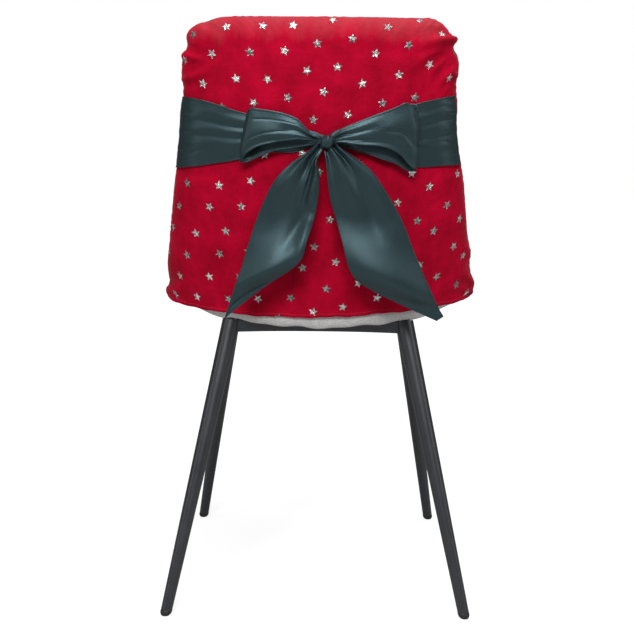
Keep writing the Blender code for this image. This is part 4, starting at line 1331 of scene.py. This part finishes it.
def seat_outline():
    """Points round the seat's edge: the rear from left to right, then round the front."""
    half_width = float(back_levels(SEAT_PLAN_Z)[1]) - SEAT_CLEARANCE
    s = np.sin(math.pi * (np.linspace(0.0, 1.0, 800) - 0.5))
    rear, _, _ = back_surface(s, np.full(800, SEAT_PLAN_Z), -1, -SEAT_CLEARANCE)
    turn = np.linspace(0.0, 0.5 * math.pi, 60)
    corner_x, corner_y = half_width - SEAT_FRONT_CORNER, SEAT_FRONT_Y - SEAT_FRONT_CORNER
    right = np.stack([corner_x + SEAT_FRONT_CORNER * np.cos(turn),
                      corner_y + SEAT_FRONT_CORNER * np.sin(turn)], -1)
    left = right[::-1] * (-1.0, 1.0)
    line = np.concatenate([rear[:, :2], right, left, rear[:1, :2]])
    steps = np.concatenate([[0.0], np.cumsum(np.linalg.norm(np.diff(line, axis=0), axis=1))])
    even = np.linspace(0.0, steps[-1], SEAT_COLUMNS + 1)
    return np.stack([np.interp(even, steps, line[:, 0]), np.interp(even, steps, line[:, 1])], -1)


def seat_middle(outline):
    """The y of the middle of the seat's outline."""
    return 0.5 * (outline[:, 1].min() + outline[:, 1].max())


def draw_in(outline, inset):
    """The x and y of the outline, drawn in towards its middle."""
    middle_y = seat_middle(outline)
    half_y = 0.5 * (outline[:, 1].max() - outline[:, 1].min())
    x = outline[:, 0] * (1.0 - inset / outline[:, 0].max())
    return x, middle_y + (outline[:, 1] - middle_y) * (1.0 - inset / half_y)


def seat_ring_points(outline, inset, z, dip):
    """One ring of the seat, with its lifted sides and its dipping rear skirt."""
    x, y = draw_in(outline, inset)
    rear = y < -0.05
    swag = 0.5 + 0.5 * np.cos(math.pi * np.minimum(1.0, np.abs(x) / 0.125))
    skirt = 0.0100 * swag ** 0.5
    waves = 0.0010 * np.sin(x * 74.0 + 0.8) + 0.0009 * np.sin(x * 133.0 + 2.0)
    low = np.clip((SEAT_EDGE_Z - z) / (SEAT_EDGE_Z - SEAT_BOTTOM_Z), 0.0, 1.0)
    height = z - dip * np.where(rear, skirt + waves * ease((0.16 - np.abs(x)) / 0.05), 0.0)
    height = height + low * 0.023 * ease((np.abs(x) - 0.135) / (0.222 - 0.135))
    return np.stack([x, y, height], -1)


def make_seat():
    outline = seat_outline()
    ring_knots = np.arange(len(SEAT_RINGS))
    levels = np.linspace(0.0, len(SEAT_RINGS) - 1, 5 * (len(SEAT_RINGS) - 1) + 1)
    inset, z, dip = read_rows(SEAT_RINGS, ring_knots, levels)
    edge = np.stack([seat_ring_points(outline, *row) for row in zip(inset, z, dip)])
    welt = np.exp(-((edge[..., 2] - SEAT_WELT_Z) / 0.0016) ** 2)[..., None]
    centre = np.array((0.0, seat_middle(outline), 0.0))
    away = edge - centre
    away[..., 2] = 0.0
    away /= np.maximum(np.linalg.norm(away, axis=2, keepdims=True), 1e-9)
    edge = edge - 0.0016 * welt * away
    turn = np.linspace(0.0, 1.0, len(outline))[None, :]
    soft = 0.0007 * np.sin(turn * 2.0 * math.pi * 17.0 + 3.0 * np.sin(turn * 2.0 * math.pi * 5.0))
    edge = edge + (soft * np.exp(-((edge[..., 2] - 0.452) / 0.012) ** 2))[..., None] * away
    steps = np.linspace(0.0, 1.0, 9)[:, None, None]
    low, high = centre + (0.0, 0.0, SEAT_BOTTOM_Z), centre + (0.0, 0.0, SEAT_CROWN_Z)
    under = low + (edge[0][None] - low) * steps
    crown = edge[-1][None] + (high - edge[-1][None]) * steps
    return join_grids("seat_pad", [under, edge, crown], grey_upholstery)


seat_pad = make_seat()
declare(seat_pad, "grey_upholstery", "seat")

# %% [markdown]
# ### The dust cloth
#
# Under a seat, the frame is closed with a thin black cloth, stapled a little way in from
# the edge. It sags slightly between its staples.

# %% The dust cloth
BOARD_INSET = 0.066
DUST_CLOTH = 0.0008
DUST_CLOTH_Z = 0.4172
STAPLES = 26


def make_underside():
    outline = seat_outline()
    rim = np.stack([*draw_in(outline, BOARD_INSET), np.full(len(outline), DUST_CLOTH_Z)], -1)
    centre = np.array((0.0, seat_middle(outline), DUST_CLOTH_Z))
    share = np.linspace(0.0, 1.0, 33)[:, None]
    points = centre + (rim[None] - centre) * (share[..., None] * 0.999 + 0.001)
    turn = np.linspace(0.0, 2.0 * math.pi, len(outline))[None, :]
    scallop = 0.0012 * np.cos(STAPLES * turn) * share ** 12
    points[..., :2] *= (1.0 - 2.0 * scallop)[..., None]
    points[..., 2] -= 0.0016 * (1.0 - share ** 2) + 0.0004 * np.cos(STAPLES * turn) * share ** 8
    cloth = cloth_distances(points)
    return lay_cloth("dust_cloth", points, cloth, DUST_CLOTH, dust_cloth), points


underside, underside_points = make_underside()
print("dust cloth width, length, area", sheet_size(underside_points))
declare(underside, "black_plastic", "seat_board")

# %% [markdown]
# ## The frame
#
# Four round legs taper towards the floor and lean outwards. A leg follows a simple rule,
# a straight line with a radius that grows along it, so Geometry Nodes build all four from
# one tree. The rails that join them are flat bars with softened edges.

# %% The legs
LEG_TOP_Z = 0.4155
LEG_BOTTOM_Z = 0.0086
LEG_TOP_RADIUS = 0.0133
LEG_BOTTOM_RADIUS = 0.0081
REAR_FOOT, REAR_LEAN = (0.2155, -0.225), (-0.2115, 0.250)
FRONT_FOOT, FRONT_LEAN = (0.2050, 0.225), (-0.157, -0.200)


def leg_tree():
    sizes = (("Foot radius", LEG_BOTTOM_RADIUS), ("Top radius", LEG_TOP_RADIUS))
    tree, given = path_tree("tapered_leg", sizes, "Leg")
    add, link = tree.nodes.new, tree.links.new
    cut = add("GeometryNodeResampleCurve")
    cut.mode = "COUNT"
    cut.inputs["Count"].default_value = 48
    link(given.outputs["Path"], cut.inputs["Curve"])
    taper = add("ShaderNodeMapRange")
    link(add("GeometryNodeSplineParameter").outputs["Factor"], taper.inputs["Value"])
    link(given.outputs["Foot radius"], taper.inputs["To Min"])
    link(given.outputs["Top radius"], taper.inputs["To Max"])
    ring = add("GeometryNodeCurvePrimitiveCircle")
    ring.inputs["Resolution"].default_value = 48
    ring.inputs["Radius"].default_value = 1.0
    sweep = add("GeometryNodeCurveToMesh")
    sweep.inputs["Fill Caps"].default_value = True
    link(ring.outputs["Curve"], sweep.inputs["Profile Curve"])
    link(cut.outputs[0], sweep.inputs["Curve"])
    link(taper.outputs[0], sweep.inputs["Scale"])
    paint_result(tree, given, sweep.outputs[0])
    return tree


def leg_centre(foot, lean, side, z):
    return np.array((side * (foot[0] + lean[0] * z), foot[1] + lean[1] * z, z))


def corners():
    """Each corner of the frame: its name, its leg's foot and lean, and its side."""
    for side, word in ((-1, "left"), (1, "right")):
        yield f"rear_{word}", REAR_FOOT, REAR_LEAN, side
        yield f"front_{word}", FRONT_FOOT, FRONT_LEAN, side


LEG = leg_tree()
for corner, foot, lean, side in corners():
    ends = np.array([leg_centre(foot, lean, side, z) for z in (LEG_BOTTOM_Z, LEG_TOP_Z)])
    leg = run_nodes(path_object("leg_path", ends), LEG, {"Finish": black_metal},
                    f"steel_leg_{corner}")
    leg.data.set_sharp_from_angle(angle=math.radians(40))
    declare(leg, "black_metal", f"leg_{corner}")

# %% [markdown]
# ### The glides and the rails
#
# A glide is a small turned plug of plastic with a rounded foot. A rail is a flat bar: the
# rear one is arched, deeper where it meets the legs. Both are made by moving the corners of
# a simple grid or box, and are then softened with a bevel.

# %% The glides
GLIDE_PROFILE = ((0.0000, 0.0000), (0.0034, 0.0002), (0.0056, 0.0011), (0.0071, 0.0026),
                 (0.0081, 0.0046), (0.0085, 0.0066), (0.0085, 0.0082), (0.0080, 0.0090),
                 (0.0080, 0.0112), (0.0000, 0.0112))


def soften(piece, width, segments, angle):
    """Rounds every edge that turns by more than an angle in degrees."""
    bevel = piece.modifiers.new("soft", "BEVEL")
    bevel.width, bevel.segments, bevel.angle_limit = width, segments, math.radians(angle)


def make_glide(name, foot, lean, side):
    turn = np.linspace(0.0, 2.0 * math.pi, 41)[None, :]
    radius = np.array([r for r, _ in GLIDE_PROFILE])[:, None]
    height = np.array([z for _, z in GLIDE_PROFILE])[:, None]
    points = np.stack([side * (foot[0] + lean[0] * height) + radius * np.cos(turn),
                       foot[1] + lean[1] * height + radius * np.sin(turn),
                       height + 0.0 * turn], -1)
    glide = join_grids(name, [points], black_plastic)
    soften(glide, 0.0004, 2, 35)
    return glide


for corner, foot, lean, side in corners():
    glide = make_glide(f"glide_{corner}", foot, lean, side)
    declare(glide, "black_plastic", f"foot_{corner}")

# %% The rails
RAIL_WIDTH = 0.012
RAIL_BOTTOM_Z, RAIL_TOP_Z = 0.3990, 0.4122


def make_rail(name, start, end, arch, top):
    """A bar between two points; its lower edge rises by `arch` in the middle."""
    bm = bmesh.new()
    bmesh.ops.create_cube(bm, size=1.0)
    bmesh.ops.subdivide_edges(
        bm, edges=[e for e in bm.edges if abs(e.verts[0].co.x - e.verts[1].co.x) > 0.5],
        cuts=39)
    run = end - start
    length = math.hypot(run[0], run[1])
    ahead = np.array((run[0] / length, run[1] / length))
    for vert in bm.verts:
        x, y, z = vert.co
        low = RAIL_BOTTOM_Z + arch * (1.0 - (2.0 * abs(x)) ** 2.4)
        place = start[:2] + run[:2] * (x + 0.5) + np.array((-ahead[1], ahead[0])) * y * RAIL_WIDTH
        vert.co = (place[0], place[1], top if z > 0.0 else low)
    rail = add_piece(name, bm, black_metal)
    rail.data.shade_smooth()
    rail.data.set_sharp_from_angle(angle=math.radians(50))
    soften(rail, 0.0016, 3, 50)
    return rail


rail_z = 0.5 * (RAIL_BOTTOM_Z + RAIL_TOP_Z)
clear = LEG_TOP_RADIUS - 0.0035
for side, word in ((-1, "left"), (1, "right")):
    rear = leg_centre(REAR_FOOT, REAR_LEAN, side, rail_z)
    front = leg_centre(FRONT_FOOT, FRONT_LEAN, side, rail_z)
    step = (front - rear) / np.linalg.norm(front - rear) * clear
    rail = make_rail(f"steel_rail_{word}", rear + step, front - step, 0.0, RAIL_TOP_Z)
    declare(rail, "black_metal", f"rail_{word}")
for word, foot, lean, arch, top in (
        ("rear", REAR_FOOT, REAR_LEAN, 0.0020, RAIL_TOP_Z + 0.0060),
        ("front", FRONT_FOOT, FRONT_LEAN, 0.0, RAIL_TOP_Z)):
    step = np.array((clear, 0.0, 0.0))
    rail = make_rail(f"steel_rail_{word}", leg_centre(foot, lean, -1, rail_z) + step,
                     leg_centre(foot, lean, 1, rail_z) - step, arch, top)
    declare(rail, "black_metal", f"rail_{word}")
